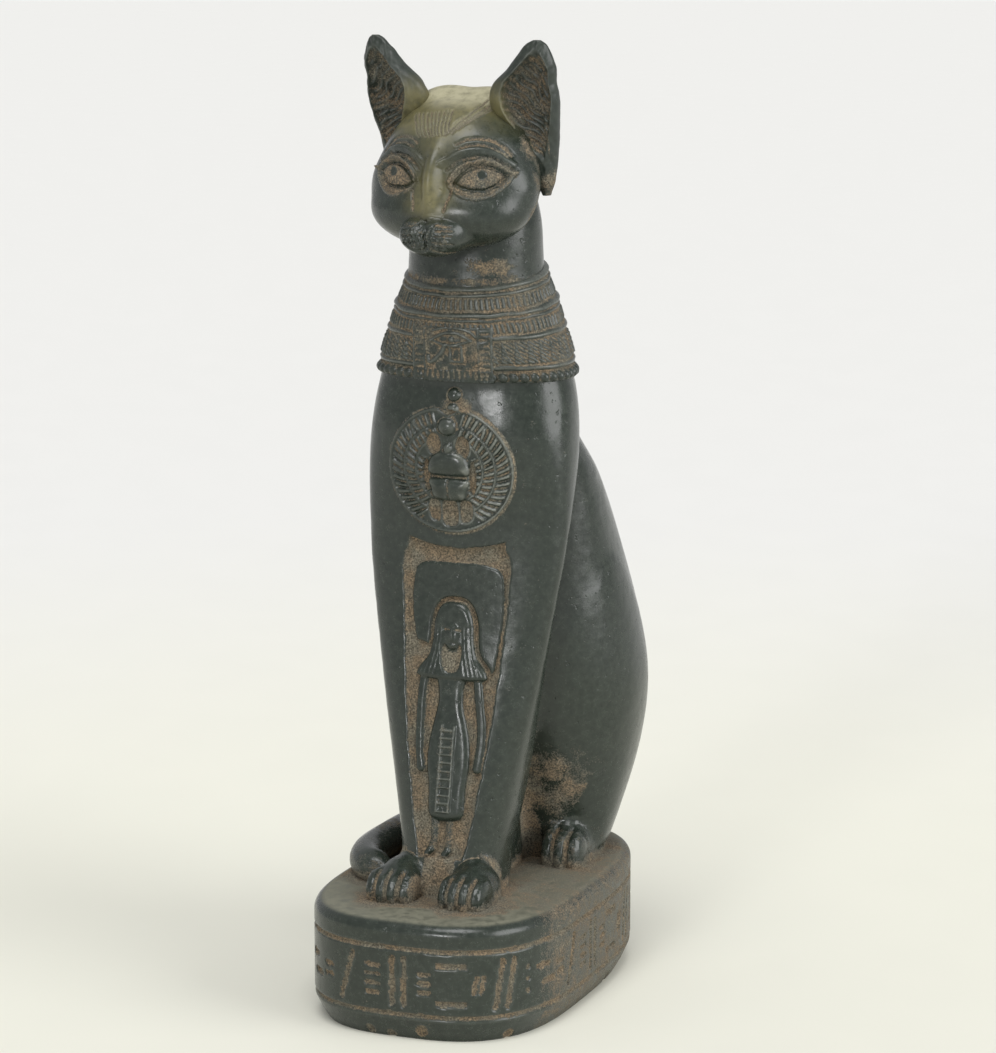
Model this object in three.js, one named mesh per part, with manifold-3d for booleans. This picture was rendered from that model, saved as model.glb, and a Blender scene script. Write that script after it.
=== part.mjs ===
// Bastet cat figure: a seated cat and its oval plinth, carved as one solid.
// Millimetres, +Z up. The cat faces -Y and its left side is +X.
// The origin is the middle of the underside, which the figure stands on.
import * as THREE from 'three';
import { mergeVertices } from 'three/addons/utils/BufferGeometryUtils.js';
import Module from 'manifold-3d';

const wasm = await Module();
wasm.setup();

// Plinth sizes
const plinthLength = 108;
const plinthWidth = 67;
const plinthHeight = 30.5;
const plinthBelly = -8;
const plinthSquareness = 2.95;
const plinthSides = 36;
const footInset = 3;
const footHeight = 6.9;
const bandTop = 23.9;
const grooveWidth = 1.3;
const grooveDepth = 0.7;
const edgeRadius = 3;
const strokeWidth = 1.4;
const strokeDepth = 0.8;
const strokePitch = 14;
const strokeMargin = 2.6;

// Cat sizes. The free form is written in shares of the cat's own height, counted in units of
// which the height holds 216, so that one unit is a millimetre at full size.
const catHeight = 216;
const unit = catHeight / 216;

// The eyes' height above the plinth's top, which carries the whole head, and their place from the
// middle. The neck runs up into the head, and ends this far below the eyes.
const eyeHeight = 184;
const eyeAcross = 12.6;
const neckBelowEyes = 6;
const neckTop = eyeHeight - neckBelowEyes;

// How deep the cat is rooted in the plinth, in its units, and the ornaments in the cat
const sunk = 2;
const root = 1;

// Facets round each form
const columnSides = 24;
const rumpSides = 22;
const headSides = 20;
const headRings = 12;
const earSides = 9;
const tailSides = 8;
const tailRings = 12;

// Collar, breast ornament and leg panel sizes
const collarRise = 1.1;
const collarRidge = 0.7;
const beadRadius = 1.5;
const beadSpacing = 4.6;
const plateWidth = 20;
const plateHeight = 14.5;
const plateRise = 0.9;
const discWidth = 34.5;
const discHeight = 33;
const discRise = 1.1;
const featherWidth = 2;
const panelDepth = 1.7;
const reliefRise = 1.9;
const grooveLine = 1.1;
const grooveCut = 0.7;

// A smooth curve through a few knots, each a place and a value
function curve(knots) {
  const last = knots.length - 1;
  const slope = knots.map((knot, i) => {
    const before = knots[Math.max(i - 1, 0)];
    const after = knots[Math.min(i + 1, last)];
    return (after[1] - before[1]) / (after[0] - before[0]);
  });
  return (at) => {
    let i = 0;
    while (i < last - 1 && at > knots[i + 1][0]) i += 1;
    const [start, low] = knots[i];
    const [end, high] = knots[i + 1];
    const span = end - start;
    const t = Math.min(Math.max((at - start) / span, 0), 1);
    const rise = high - low;
    const bend = (slope[i] + slope[i + 1]) * span - 2 * rise;
    const turn = 3 * rise - (2 * slope[i] + slope[i + 1]) * span;
    return low + t * (slope[i] * span + t * (turn + t * bend));
  };
}

// A power that keeps the sign of its number
function signedPower(value, power) {
  return Math.sign(value) * Math.abs(value) ** power;
}

// Evenly stepped numbers from one end to the other
function steps(from, to, count) {
  return Array.from({ length: count + 1 }, (_, i) => from + ((to - from) * i) / count);
}

// The angles of a whole turn, cut into equal sides
function circle(sides) {
  return steps(0, 2 * Math.PI, sides).slice(0, sides);
}

// A place on the cat, given in its own units above the plinth's top
function onCat(x, y, z) {
  return new THREE.Vector3(x * unit, y * unit, plinthHeight + z * unit);
}

// A place on the head, with its height counted from the eyes. The head is turned a little towards
// the cat's right about the neck.
const headTurn = -0.095;
const neckMiddle = -2;

function onHead(x, y, z) {
  const place = new THREE.Vector3(x, y - neckMiddle, z);
  place.applyAxisAngle(new THREE.Vector3(0, 0, 1), headTurn);
  return onCat(place.x, place.y + neckMiddle, eyeHeight + place.z);
}

// A closed skin through rings with the same number of points. A ring of three is closed by one
// triangle at each end, a larger one by a fan, and the last fan can rise to a tip of its own.
function loft(rings, tip = null) {
  const sides = rings[0].length;
  const points = rings.flat();
  const faces = [];
  const top = (rings.length - 1) * sides;
  const middle = (ring) => ring.reduce((sum, p) => sum.add(p), new THREE.Vector3()).divideScalar(sides);
  if (sides === 3) faces.push(0, 2, 1, top, top + 1, top + 2);
  else points.push(middle(rings[0]), tip ?? middle(rings.at(-1)));
  for (let i = 0; i < sides; i += 1) {
    const j = (i + 1) % sides;
    if (sides > 3) faces.push(points.length - 2, j, i, points.length - 1, top + i, top + j);
    for (let row = 0; row < top; row += sides) {
      faces.push(row + i, row + j, row + sides + j, row + i, row + sides + j, row + sides + i);
    }
  }
  const geometry = new THREE.BufferGeometry().setFromPoints(points);
  geometry.setIndex(faces);
  return geometry;
}

// A closed geometry as a solid that can be joined and cut
function solid(geometry) {
  const bare = new THREE.BufferGeometry();
  bare.setAttribute('position', geometry.getAttribute('position'));
  if (geometry.index) bare.setIndex(geometry.index);
  const merged = mergeVertices(bare, 1e-4);
  const mesh = new wasm.Mesh({
    numProp: 3,
    vertProperties: new Float32Array(merged.attributes.position.array),
    triVerts: new Uint32Array(merged.index.array),
  });
  const result = new wasm.Manifold(mesh);
  if (result.volume() >= 0) return result;
  const turned = new Uint32Array(merged.index.array);
  for (let i = 0; i < turned.length; i += 3) [turned[i], turned[i + 1]] = [turned[i + 1], turned[i]];
  mesh.triVerts = turned;
  return new wasm.Manifold(mesh);
}

function joined(pieces) {
  return pieces.reduce((whole, piece) => whole.add(piece));
}

// A round lump: a low ball stretched to its three radii, turned and put in place
function lump(centre, radii, turn = [0, 0, 0], across = 12, up = 8) {
  const ball = new THREE.SphereGeometry(1, across, up);
  ball.scale(radii[0] * unit, radii[1] * unit, radii[2] * unit);
  ball.rotateX(turn[0]);
  ball.rotateY(turn[1]);
  ball.rotateZ(turn[2]);
  const place = onCat(...centre);
  ball.translate(place.x, place.y, place.z);
  return solid(ball);
}

// One level of a body: a rounded outline with its own front and back depth
function outline(form, z, angle) {
  const side = signedPower(Math.sin(angle), 2 / form.fullness(z));
  const along = signedPower(Math.cos(angle), 2 / form.fullness(z));
  const depth = along > 0 ? form.front(z) : form.back(z);
  return [form.width(z) * side, form.middle(z) - along * depth];
}

function bodyRing(form, z, sides, rise = 0) {
  return circle(sides).map((angle) => {
    const [x, y] = outline(form, z, angle);
    const reach = Math.hypot(x, y - form.middle(z));
    const grow = 1 + rise / reach;
    return onCat(x * grow, form.middle(z) + (y - form.middle(z)) * grow, z);
  });
}

// The forelegs, chest and neck, one upright column. Heights and sizes are in the cat's units.
const column = {
  width: curve([[0, 13.4], [10, 13.8], [26, 16.4], [48, 20.4], [71, 24.3], [88, 26.6], [108, 27.5],
    [124, 26.4], [135, 23.8], [146, 20], [153, 17.8], [160, 17.3], [170, 17], [neckTop, 15.6]]),
  middle: curve([[0, -15], [26, -13], [48, -12], [71, -9.8], [92, -6.8], [110, -4.6], [130, neckMiddle],
    [neckTop, neckMiddle]]),
  front: curve([[0, 13.6], [26, 11.6], [48, 9], [71, 7.4], [92, 8.8], [110, 12], [130, 15.6],
    [145, 16.2], [158, 15.2], [neckTop, 13]]),
  back: curve([[0, 8], [8, 12], [30, 16], [48, 13], [71, 7.2], [90, 9], [100, 13], [112, 19],
    [130, 20], [147, 17.4], [160, 15], [170, 13.4], [neckTop, 9.6]]),
  fullness: curve([[0, 2.6], [30, 2.8], [60, 2.5], [110, 2.4], [130, 2.2], [neckTop, 2]]),
};

function columnSolid() {
  return solid(loft(steps(-sunk, neckTop, 16).map((z) => bodyRing(column, z, columnSides))));
}

// The back, belly and rump, one pear that leans against the column
const rump = {
  width: curve([[0, 24], [10, 26.8], [29, 31.7], [46, 34.2], [61, 33.2], [82, 29.8], [103, 25.8], [114, 22],
    [130, 17]]),
  middle: curve([[0, 24], [10, 26], [29, 28], [46, 27], [61, 25], [82, 19], [103, 12.5], [114, 8], [130, 3]]),
  front: curve([[0, 9], [8, 13], [18, 18.5], [30, 25], [42, 28.6], [61, 29], [82, 22], [103, 15], [130, 12]]),
  back: curve([[0, 20], [10, 23], [29, 26], [46, 27], [61, 28], [82, 28], [103, 24], [114, 20], [130, 14]]),
  fullness: curve([[0, 2.3], [130, 2.2]]),
};

// The haunches stand a little proud of the rump, inside an oval on each flank
const haunch = { y: 18, z: 38, long: 20, high: 44, rise: 1.8 };

function haunchSwell(y, z) {
  const inside = 1 - ((y - haunch.y) / haunch.long) ** 2 - ((z - haunch.z) / haunch.high) ** 2;
  return haunch.rise * Math.sqrt(Math.max(inside, 0));
}

function rumpRing(z) {
  return bodyRing(rump, z, rumpSides).map((p) => {
    const swell = haunchSwell(p.y / unit, z) * (p.x / rump.width(z));
    return p.setX(p.x + swell);
  });
}

function rumpSolid() {
  return solid(loft(steps(-sunk, 130, 12).map(rumpRing)));
}

// The belly reaches down between the legs
const bellyTop = 36;
const belly = {
  width: curve([[0, 8], [24, 8], [bellyTop, 4]]),
  middle: () => 5,
  front: () => 14,
  back: () => 14,
  fullness: () => 2.4,
};

function bellySolid() {
  return solid(loft(steps(-sunk, bellyTop, 3).map((z) => bodyRing(belly, z, 12))));
}

// A paw with its toes, resting on the plinth
const frontPaw = { x: 9.8, y: -27.8, wide: 6.4, long: 10.5, high: 8.6, toes: 4, toeLong: 5.2, toeHigh: 4.6 };
const hindPaw = { x: 19, y: 18.6, wide: 5.8, long: 10.6, high: 10.6, toes: 3, toeLong: 4.8, toeHigh: 6.4 };

function paw(form, side) {
  const pieces = [lump([side * form.x, form.y, 1], [form.wide, form.long, form.high], [0, 0, 0], 12, 6)];
  const toeWide = form.wide / form.toes;
  for (let i = 0; i < form.toes; i += 1) {
    const across = (i + 0.5) * 2 * toeWide - form.wide;
    const setBack = 2.2 * (across / form.wide) ** 2;
    const centre = [side * form.x + across, form.y - form.long + 3.4 + setBack, 2.2];
    pieces.push(lump(centre, [toeWide * 1.1, form.toeLong, form.toeHigh], [0.12, 0, 0], 6, 4));
  }
  return joined(pieces);
}

// The tail lies along the cat's right side and turns in behind the right front paw
const tailRadius = 4.6;
const tailLift = 3.4;
const tailRoute = [[4, 45], [-11, 44], [-21.5, 36], [-27.4, 22], [-28.4, 6], [-27.8, -8], [-23.4, -18],
  [-15.5, -22]];

function tail() {
  const path = new THREE.CatmullRomCurve3(tailRoute.map(([x, y]) => onCat(x, y, tailLift)));
  const rings = steps(0, 1, tailRings).map((t) => {
    const place = path.getPoint(t);
    const ahead = path.getTangent(t);
    const across = new THREE.Vector3(-ahead.y, ahead.x, 0).normalize();
    const taper = Math.min(1, Math.sqrt(Math.max(0.03, 1 - t) * 12));
    return circle(tailSides).map((angle) => {
      const out = tailRadius * unit * taper;
      const sideways = across.clone().multiplyScalar(Math.cos(angle) * out);
      return place.clone().add(sideways).setZ(place.z + Math.sin(angle) * out);
    });
  });
  return solid(loft(rings));
}

// The head is drawn from one inner point: the farthest of a few blended eggs in each direction.
// All of it, with the ears and the face, has its heights counted from the eyes.
const headCentre = new THREE.Vector3(0, -14, -7);
const headBlend = 14;
const headEggs = [
  { centre: [0, -8, -0.4], radii: [20.4, 19, 20] },
  { centre: [0, -6, 9.6], radii: [19.6, 10, 9.2] },
  { centre: [0, -13.4, -5.4], radii: [22.4, 13, 14.4] },
  { centre: [0, -17, -10.6], radii: [20.2, 12.6, 9.4] },
  { centre: [-3, -26, -14.8], radii: [5.6, 8.8, 5.4] },
  { centre: [3, -26, -14.8], radii: [5.6, 8.8, 5.4] },
  { centre: [0, -23, -17], radii: [4.6, 9, 4] },
  { centre: [0, -20, -7.4], radii: [4.6, 11.6, 8.6] },
];

function eggReach(egg, ahead) {
  const from = [0, 1, 2].map((k) => (headCentre.getComponent(k) - egg.centre[k]) / egg.radii[k]);
  const along = [0, 1, 2].map((k) => ahead.getComponent(k) / egg.radii[k]);
  const dot = (p, q) => p[0] * q[0] + p[1] * q[1] + p[2] * q[2];
  const half = dot(from, along);
  const inside = half * half - dot(along, along) * (dot(from, from) - 1);
  return inside > 0 ? Math.max((-half + Math.sqrt(inside)) / dot(along, along), 0) : 0;
}

function headReach(ahead) {
  const sum = headEggs.reduce((total, egg) => total + eggReach(egg, ahead) ** headBlend, 0);
  return sum ** (1 / headBlend);
}

function headPoint(ahead) {
  return ahead.clone().normalize().multiplyScalar(headReach(ahead.clone().normalize())).add(headCentre);
}

function head() {
  const pole = new THREE.Vector3(0, -24, -7).normalize();
  const turn = new THREE.Quaternion().setFromUnitVectors(new THREE.Vector3(0, 0, 1), pole);
  const rings = steps(0.1, Math.PI - 0.1, headRings).map((fall) => (
    circle(headSides).map((angle) => {
      const flat = Math.sin(fall);
      const ahead = new THREE.Vector3(flat * Math.cos(angle), flat * Math.sin(angle), Math.cos(fall));
      const p = headPoint(ahead.applyQuaternion(turn));
      return onHead(p.x, p.y, p.z);
    })
  ));
  return solid(loft(rings));
}

// An upright ear: a hollowed leaf that leans out and faces forward and outward
const earTurn = 0.18;
const ear = {
  across: curve([[-7, 20.8], [0, 20.8], [6, 19.6], [14, 17.8], [21, 18.4], [25, 20.7], [32, 22.6]]),
  ahead: curve([[-7, -3.6], [6, -6], [14, -9], [21, -10.8], [32, -12.8]]),
  wide: curve([[-7, 1], [-4, 2.2], [0, 3.2], [6, 5.4], [14, 8.6], [19, 8.8], [25, 6.2], [28, 4.6],
    [31, 2.6], [32, 1]]),
  thick: curve([[-7, 1.6], [6, 3.8], [14, 5.4], [23, 4], [28, 2.4], [32, 0.8]]),
};
const earRim = curve([[2, 3.4], [8, 2.6], [20, 1.9], [29, 1.5]]);

function earLevel(side, z, narrow, forward) {
  return circle(earSides).map((angle) => {
    const along = Math.cos(angle) * Math.max(ear.wide(z) - narrow, 0.1);
    const out = Math.sin(angle) * ear.thick(z) - forward;
    const x = ear.across(z) + along * Math.cos(earTurn) - out * Math.sin(earTurn);
    const y = ear.ahead(z) + along * Math.sin(earTurn) + out * Math.cos(earTurn);
    return onHead(side * x, y, z);
  });
}

function earSolid(side) {
  const heights = [-7, -2, 6, 14, 21, 25, 29, 32];
  const whole = solid(loft(heights.map((z) => earLevel(side, z, 0, 0))));
  const hollow = solid(loft([2, 8, 14, 21, 25, 28.8].map((z) => earLevel(side, z, earRim(z), 3.4))));
  return whole.subtract(hollow);
}

// Places on the skin, lifted by a rise: the front of the column, all round it, and the face
function chestSkin(x, z, rise) {
  const reach = Math.min(Math.abs(x) / column.width(z), 0.98);
  const along = (1 - reach ** column.fullness(z)) ** (1 / column.fullness(z));
  const y = column.middle(z) - column.front(z) * along;
  const lean = (x / column.width(z)) * 0.8;
  return onCat(x + rise * lean, y - rise * Math.sqrt(1 - lean * lean), z);
}

function roundSkin(angle, z, rise) {
  const [x, y] = outline(column, z, angle);
  const from = y - column.middle(z);
  const grow = 1 + rise / Math.hypot(x, from);
  return onCat(x * grow, column.middle(z) + from * grow, z);
}

function faceSkin(x, z, rise) {
  let near = 0;
  let far = 40;
  for (let i = 0; i < 30; i += 1) {
    const depth = (near + far) / 2;
    const ahead = new THREE.Vector3(x, -depth, z - headCentre.z);
    if (ahead.length() < headReach(ahead.clone().normalize())) near = depth;
    else far = depth;
  }
  const ahead = new THREE.Vector3(x, -near, z - headCentre.z);
  const p = ahead.clone().setLength(ahead.length() + rise).add(headCentre);
  return onHead(p.x, p.y, p.z);
}

// A stroke along a path on a skin: a ridge or a groove with a three-cornered section
function stroke(path, width, skin, foot, tip) {
  const rings = path.map(([a, b], i) => {
    const [a0, b0] = path[Math.max(i - 1, 0)];
    const [a1, b1] = path[Math.min(i + 1, path.length - 1)];
    const length = Math.hypot(a1 - a0, b1 - b0);
    const across = [(-(b1 - b0) / length) * (width / 2), ((a1 - a0) / length) * (width / 2)];
    return [
      skin(a + across[0], b + across[1], foot),
      skin(a, b, tip),
      skin(a - across[0], b - across[1], foot),
    ];
  });
  return solid(loft(rings));
}

function ridge(path, width, skin, rise) {
  return stroke(path, width, skin, -root, rise);
}

// The groove's walls run on past the skin, so that nothing is left standing over a hollow
const cutterLift = 1.2;

function groove(path, width, skin, depth) {
  return stroke(path, width * (1 + cutterLift / depth), skin, cutterLift, -depth);
}

// A pad with a soft edge, raised over an outline on a skin
function pad(points, skin, high, inset = 0.82) {
  const cx = points.reduce((sum, p) => sum + p[0], 0) / points.length;
  const cz = points.reduce((sum, p) => sum + p[1], 0) / points.length;
  const level = (share, rise) => points.map(([x, z]) => (
    skin(cx + (x - cx) * share, cz + (z - cz) * share, rise)
  ));
  return solid(loft([level(1, -root), level(1, high * 0.55), level(inset, high)], skin(cx, cz, high)));
}

function oval(cx, cz, halfWide, halfHigh, sides) {
  return circle(sides).map((angle) => (
    [cx + halfWide * Math.sin(angle), cz + halfHigh * Math.cos(angle)]
  ));
}

function mirrored(path) {
  return path.map(([x, z]) => [-x, z]);
}

// The broad collar: plain ridges between flat bands, a row of beads below, and a plate in front
const collarLow = 130.4;
const collarHigh = 154.4;
const collarLean = 0.17;
const collarRidges = [141.8, 147.6, 153.2];

function collar() {
  const levels = [[collarLow, -root], [collarLow, collarRise]];
  for (const at of collarRidges) {
    levels.push([at - 0.9, collarRise], [at, collarRise + collarRidge], [at + 0.9, collarRise]);
  }
  levels.push([collarHigh, collarRise], [collarHigh + 0.6, -root]);
  const rings = levels.map(([z, rise]) => {
    const lean = collarLean * (z - collarLow) / (collarHigh - collarLow);
    const ring = bodyRing(column, z, columnSides, rise);
    return ring.map((p) => p.setZ(p.z + lean * (p.y + column.front(z) * unit)));
  });
  return solid(loft(rings));
}

function beads() {
  const z = collarLow + beadRadius;
  const round = 2 * Math.PI * (column.width(z) + column.front(z)) / 2;
  const count = Math.round(round / beadSpacing);
  const plateReach = plateWidth / 2 / column.width(z);
  const pieces = [];
  for (let i = 0; i < count; i += 1) {
    const angle = (2 * Math.PI * i) / count;
    if (Math.cos(angle) > 0 && Math.abs(Math.sin(angle)) < plateReach) continue;
    const bead = new THREE.OctahedronGeometry(beadRadius * unit);
    const place = roundSkin(angle, z, collarRise - 0.2);
    bead.rotateZ(angle);
    bead.translate(place.x, place.y, place.z);
    pieces.push(solid(bead));
  }
  return joined(pieces);
}

// The plate carries an eye: an almond with its pupil, a brow and a falling tail
const plateFoot = collarLow + 0.1;

function plate() {
  const half = plateWidth / 2;
  const top = plateFoot + plateHeight;
  const middle = plateFoot + plateHeight / 2;
  const face = collarRise + plateRise;
  const skin = (x, z, rise) => chestSkin(x, z, face + rise);
  const rings = steps(-half, half, 6).map((x) => (
    [skin(x, plateFoot, -face - root), skin(x, plateFoot, 0), skin(x, top, 0), skin(x, top, -face - root)]
  ));
  return joined([
    solid(loft(rings)),
    ridge([[-5, middle + 1.4], [-1.5, middle + 3], [2, middle + 2.4], [4.6, middle + 1]], 1, skin, 0.5),
    ridge([[-5, middle + 1.2], [-1.5, middle - 0.2], [2, middle], [4.6, middle + 1]], 1, skin, 0.5),
    ridge([[-5, middle + 4.4], [-1, middle + 5.4], [4, middle + 4.4]], 1, skin, 0.5),
    ridge([[0.5, middle], [0.8, middle - 4.6]], 1.2, skin, 0.5),
    ridge([[-1.5, middle - 0.5], [-4.6, middle - 3.8]], 1, skin, 0.5),
    lumpOn(chestSkin, -0.4, middle + 1.4, face, 1),
  ]);
}

function lumpOn(skin, x, z, rise, radius) {
  const ball = new THREE.OctahedronGeometry(radius * unit);
  const place = skin(x, z, rise);
  ball.translate(place.x, place.y, place.z);
  return solid(ball);
}

// The winged beetle on the breast: a rimmed disc, a beetle between two feathered wings
const discMiddle = 108;
const discAside = -1.2;

function disc() {
  const halfWide = discWidth / 2;
  const halfHigh = discHeight / 2;
  const level = (share, rise) => oval(discAside, discMiddle, halfWide * share, halfHigh * share, 24)
    .map(([x, z]) => chestSkin(x, z, rise));
  return solid(loft([level(1, -root), level(1, 0.4), level(0.96, discRise), level(0.88, 0)]));
}

function feathers() {
  const pieces = [];
  for (const turn of steps(0.3, 2.5, 6)) {
    const x = (discWidth / 2) * Math.sin(turn);
    const z = (discHeight / 2) * Math.cos(turn);
    for (const side of [-1, 1]) {
      const path = [0.46, 0.66, 0.88].map((share) => [discAside + side * x * share, discMiddle + z * share]);
      pieces.push(ridge(path, featherWidth, chestSkin, discRise));
    }
  }
  return joined(pieces);
}

function beetle() {
  const part = (z, wide, high, rise) => pad(oval(discAside, z, wide, high, 7), chestSkin, rise, 0.6);
  const pieces = [
    part(discMiddle - 3.6, 4.6, 5, 2.6),
    part(discMiddle + 2.6, 4.4, 2.4, 2.2),
    part(discMiddle + 6.4, 2.6, 1.8, 2),
    part(discMiddle + 10.8, 2.4, 2.4, 2.2),
  ];
  for (const x of [-4.6, -1.6, 1.6, 4.6]) {
    const path = [[discAside + x * 0.8, discMiddle - 9], [discAside + x, discMiddle - 14]];
    pieces.push(ridge(path, 1.2, chestSkin, discRise));
  }
  return joined(pieces);
}

// Two drops hang from the plate down to the disc's rim
const pendantFoot = discMiddle + discHeight / 2 + 0.6;

function pendant() {
  return joined([
    pad(oval(0, pendantFoot + 3.7, 1.2, 1.4, 6), chestSkin, 1.2),
    pad(oval(0, pendantFoot + 1, 1.5, 1.8, 6), chestSkin, 1.5),
  ]);
}

// The sunk panel between the forelegs, and the standing woman carved in it
const panelLow = 9;
const panelHigh = 88;
const panelHalf = curve([[9, 6.2], [20, 8.4], [45, 12], [70, 14.2], [84, 15], [88, 13.6]]);

function panel() {
  const shares = steps(-1, 1, 4);
  const rings = [...steps(panelLow, panelHigh - 4, 8), panelHigh].map((z) => [
    ...shares.map((share) => chestSkin(share * panelHalf(z), z, 3)),
    ...shares.toReversed().map((share) => chestSkin(share * panelHalf(z), z, -panelDepth)),
  ]);
  return solid(loft(rings));
}

function woman() {
  const floor = -panelDepth;
  const skin = (x, z, rise) => chestSkin(x, z, floor + rise);
  const arm = [[-6.4, 56], [-7.2, 44], [-7.4, 31]];
  const wig = [[0, 74], [4, 72.6], [5.6, 67], [6.4, 61], [9, 57.6], [8.8, 54.8], [-8.8, 54.8], [-9, 57.6],
    [-6.4, 61], [-5.6, 67], [-4, 72.6]];
  const flank = [[4, 55], [3.4, 48], [4.8, 38], [4.8, 24], [4, 16]];
  const body = [...flank, ...mirrored(flank).reverse()];
  const pieces = [
    pad(wig, skin, reliefRise),
    pad(body, skin, reliefRise, 0.7),
    pad(oval(0, 65.4, 2.6, 3.6, 8), skin, reliefRise + 1.1, 0.6),
    ridge(arm, 2.4, skin, reliefRise * 0.8),
    ridge(mirrored(arm), 2.4, skin, reliefRise * 0.8),
    ridge([[-2.2, 17], [-2.8, 11.5]], 2.4, skin, reliefRise * 0.8),
    ridge([[2.2, 17], [1.8, 11.5]], 2.4, skin, reliefRise * 0.8),
  ];
  return joined(pieces);
}

function dressMarks() {
  const skin = (x, z, rise) => chestSkin(x, z, reliefRise - panelDepth + rise);
  const marks = steps(20, 42, 5).map((z) => groove([[-1.6, z], [1.6, z]], 0.9, skin, 0.5));
  return joined(marks);
}

// The face: sunk almond eyes with raised lids and pupils, brows, nose, mouth and brow fan
function eyeLine(side, line, lift = 0) {
  return line.map(([x, z]) => [side * (eyeAcross + x), z + lift]);
}

function faceCuts() {
  const cut = (path, width = grooveLine, depth = grooveCut) => groove(path, width, faceSkin, depth);
  const upper = [[-7, -2.6], [-2.6, 2], [2.8, 2.8], [7, -0.4]];
  const lower = [[-7, -2.8], [-2.6, -5.6], [2.8, -4.6], [7, -0.6]];
  const brow = [[-6.4, 0.4], [-0.6, 2.2], [5.2, -0.6]];
  const pieces = [];
  for (const side of [-1, 1]) {
    pieces.push(cut(eyeLine(side, upper)), cut(eyeLine(side, lower)));
    pieces.push(cut(eyeLine(side, brow, 6)));
    pieces.push(cut([[side * 5, -3.6], [side * 3.6, -8.4]]));
  }
  pieces.push(cut([[-6.4, -16.8], [-3, -18.2], [0, -17.6], [3, -18.2], [6.4, -16.8]]));
  for (const lean of steps(-3, 3, 4)) {
    pieces.push(cut([[lean * 1.4, 6.8], [lean * 2.2, 12]]));
  }
  return joined(pieces);
}

function pupils() {
  return joined([-1, 1].map((side) => lumpOn(faceSkin, side * (eyeAcross + 0.4), -0.2, -0.2, 2)));
}

function nose() {
  return pad(oval(0, -11.8, 3.6, 2.4, 8), faceSkin, 1.4, 0.7);
}

// The plinth is an oval, widest a little in front of its middle
function plinthEdge(angle, inset) {
  const along = signedPower(Math.cos(angle), 2 / plinthSquareness);
  const reach = plinthLength / 2 + (along > 0 ? plinthBelly : -plinthBelly) - inset;
  const x = (plinthWidth / 2 - inset) * signedPower(Math.sin(angle), 2 / plinthSquareness);
  return { x, y: plinthBelly - along * reach };
}

// Places on the plinth's wall, counted along it from the middle of the front
const plinthWall = (() => {
  const table = [];
  let run = 0;
  for (const angle of steps(0, Math.PI, 400)) {
    const { x, y } = plinthEdge(angle, 0);
    if (table.length) run += Math.hypot(x - table.at(-1).x, y - table.at(-1).y);
    table.push({ run, x, y });
  }
  return table;
})();

function plinthSkin(along, z, rise) {
  const distance = Math.min(Math.abs(along), plinthWall.at(-1).run * 0.999);
  const next = plinthWall.findIndex((place) => place.run > distance);
  const [a, b] = [plinthWall[next - 1], plinthWall[next]];
  const share = (distance - a.run) / (b.run - a.run);
  const length = Math.hypot(b.x - a.x, b.y - a.y);
  const x = a.x + (b.x - a.x) * share + (rise * (b.y - a.y)) / length;
  const y = a.y + (b.y - a.y) * share - (rise * (b.x - a.x)) / length;
  return new THREE.Vector3(Math.sign(along || 1) * x, y, z);
}

function plinthRing(z, inset) {
  return circle(plinthSides).map((angle) => {
    const { x, y } = plinthEdge(angle, inset);
    return new THREE.Vector3(x, y, z);
  });
}

function plinth() {
  const half = grooveWidth / 2;
  const levels = [[0, footInset]];
  for (const at of [footHeight, bandTop]) levels.push([at - half, 0], [at, grooveDepth], [at + half, 0]);
  for (const turn of [0, 0.5, 1]) {
    const angle = (turn * Math.PI) / 2;
    levels.push([plinthHeight - edgeRadius * (1 - Math.sin(angle)), edgeRadius * (1 - Math.cos(angle))]);
  }
  return solid(loft(levels.map(([z, inset]) => plinthRing(z, inset))));
}

// Shallow strokes round the plinth's band: uprights, leaning strokes and short bars
function bandStrokes() {
  const low = footHeight + strokeMargin;
  const high = bandTop - strokeMargin;
  const middle = (low + high) / 2;
  const patterns = [
    [[-1.6, low, -1.6, high], [1.6, low, 1.6, high]],
    [[-3.2, high - 1, 3.2, high - 1], [-3.2, low + 1, 3.2, low + 1]],
    [[-2.6, low, -0.6, high], [0.8, low, 2.8, high]],
    [[-3.2, middle + 2.2, 0.8, middle + 2.2], [-0.8, middle - 2.2, 3.2, middle - 2.2]],
    [[-2.4, low, 1.2, high]],
  ];
  const count = Math.floor(plinthWall.at(-1).run / strokePitch);
  const pieces = [];
  for (let i = -count + 1; i < count; i += 1) {
    for (const [a, z, b, top] of patterns[(i + count) % patterns.length]) {
      const path = [[i * strokePitch + a, z], [i * strokePitch + b, top]];
      pieces.push(groove(path, strokeWidth, plinthSkin, strokeDepth));
    }
  }
  return joined(pieces);
}

function cat() {
  const legs = [-1, 1].flatMap((side) => [paw(frontPaw, side), paw(hindPaw, side)]);
  const body = joined([columnSolid(), rumpSolid(), bellySolid(), ...legs, tail()]);
  const dressed = body.subtract(panel()).add(woman()).subtract(dressMarks());
  const ornaments = joined([collar(), beads(), plate(), disc(), feathers(), beetle(), pendant()]);
  const face = head().add(nose()).subtract(faceCuts()).add(pupils());
  return joined([dressed, ornaments, face, earSolid(-1), earSolid(1)]);
}

function toGeometry(whole) {
  const { vertProperties, triVerts } = whole.getMesh();
  const geometry = new THREE.BufferGeometry();
  geometry.setAttribute('position', new THREE.BufferAttribute(new Float32Array(vertProperties), 3));
  geometry.setIndex(new THREE.BufferAttribute(new Uint32Array(triVerts), 1));
  geometry.computeVertexNormals();
  return geometry;
}

const blackStone = new THREE.MeshStandardMaterial({ color: 0x24241f, roughness: 0.45, metalness: 0 });
const figure = plinth().subtract(bandStrokes()).add(cat());
const mesh = new THREE.Mesh(toGeometry(figure), blackStone);
mesh.name = 'seated_cat';

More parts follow.
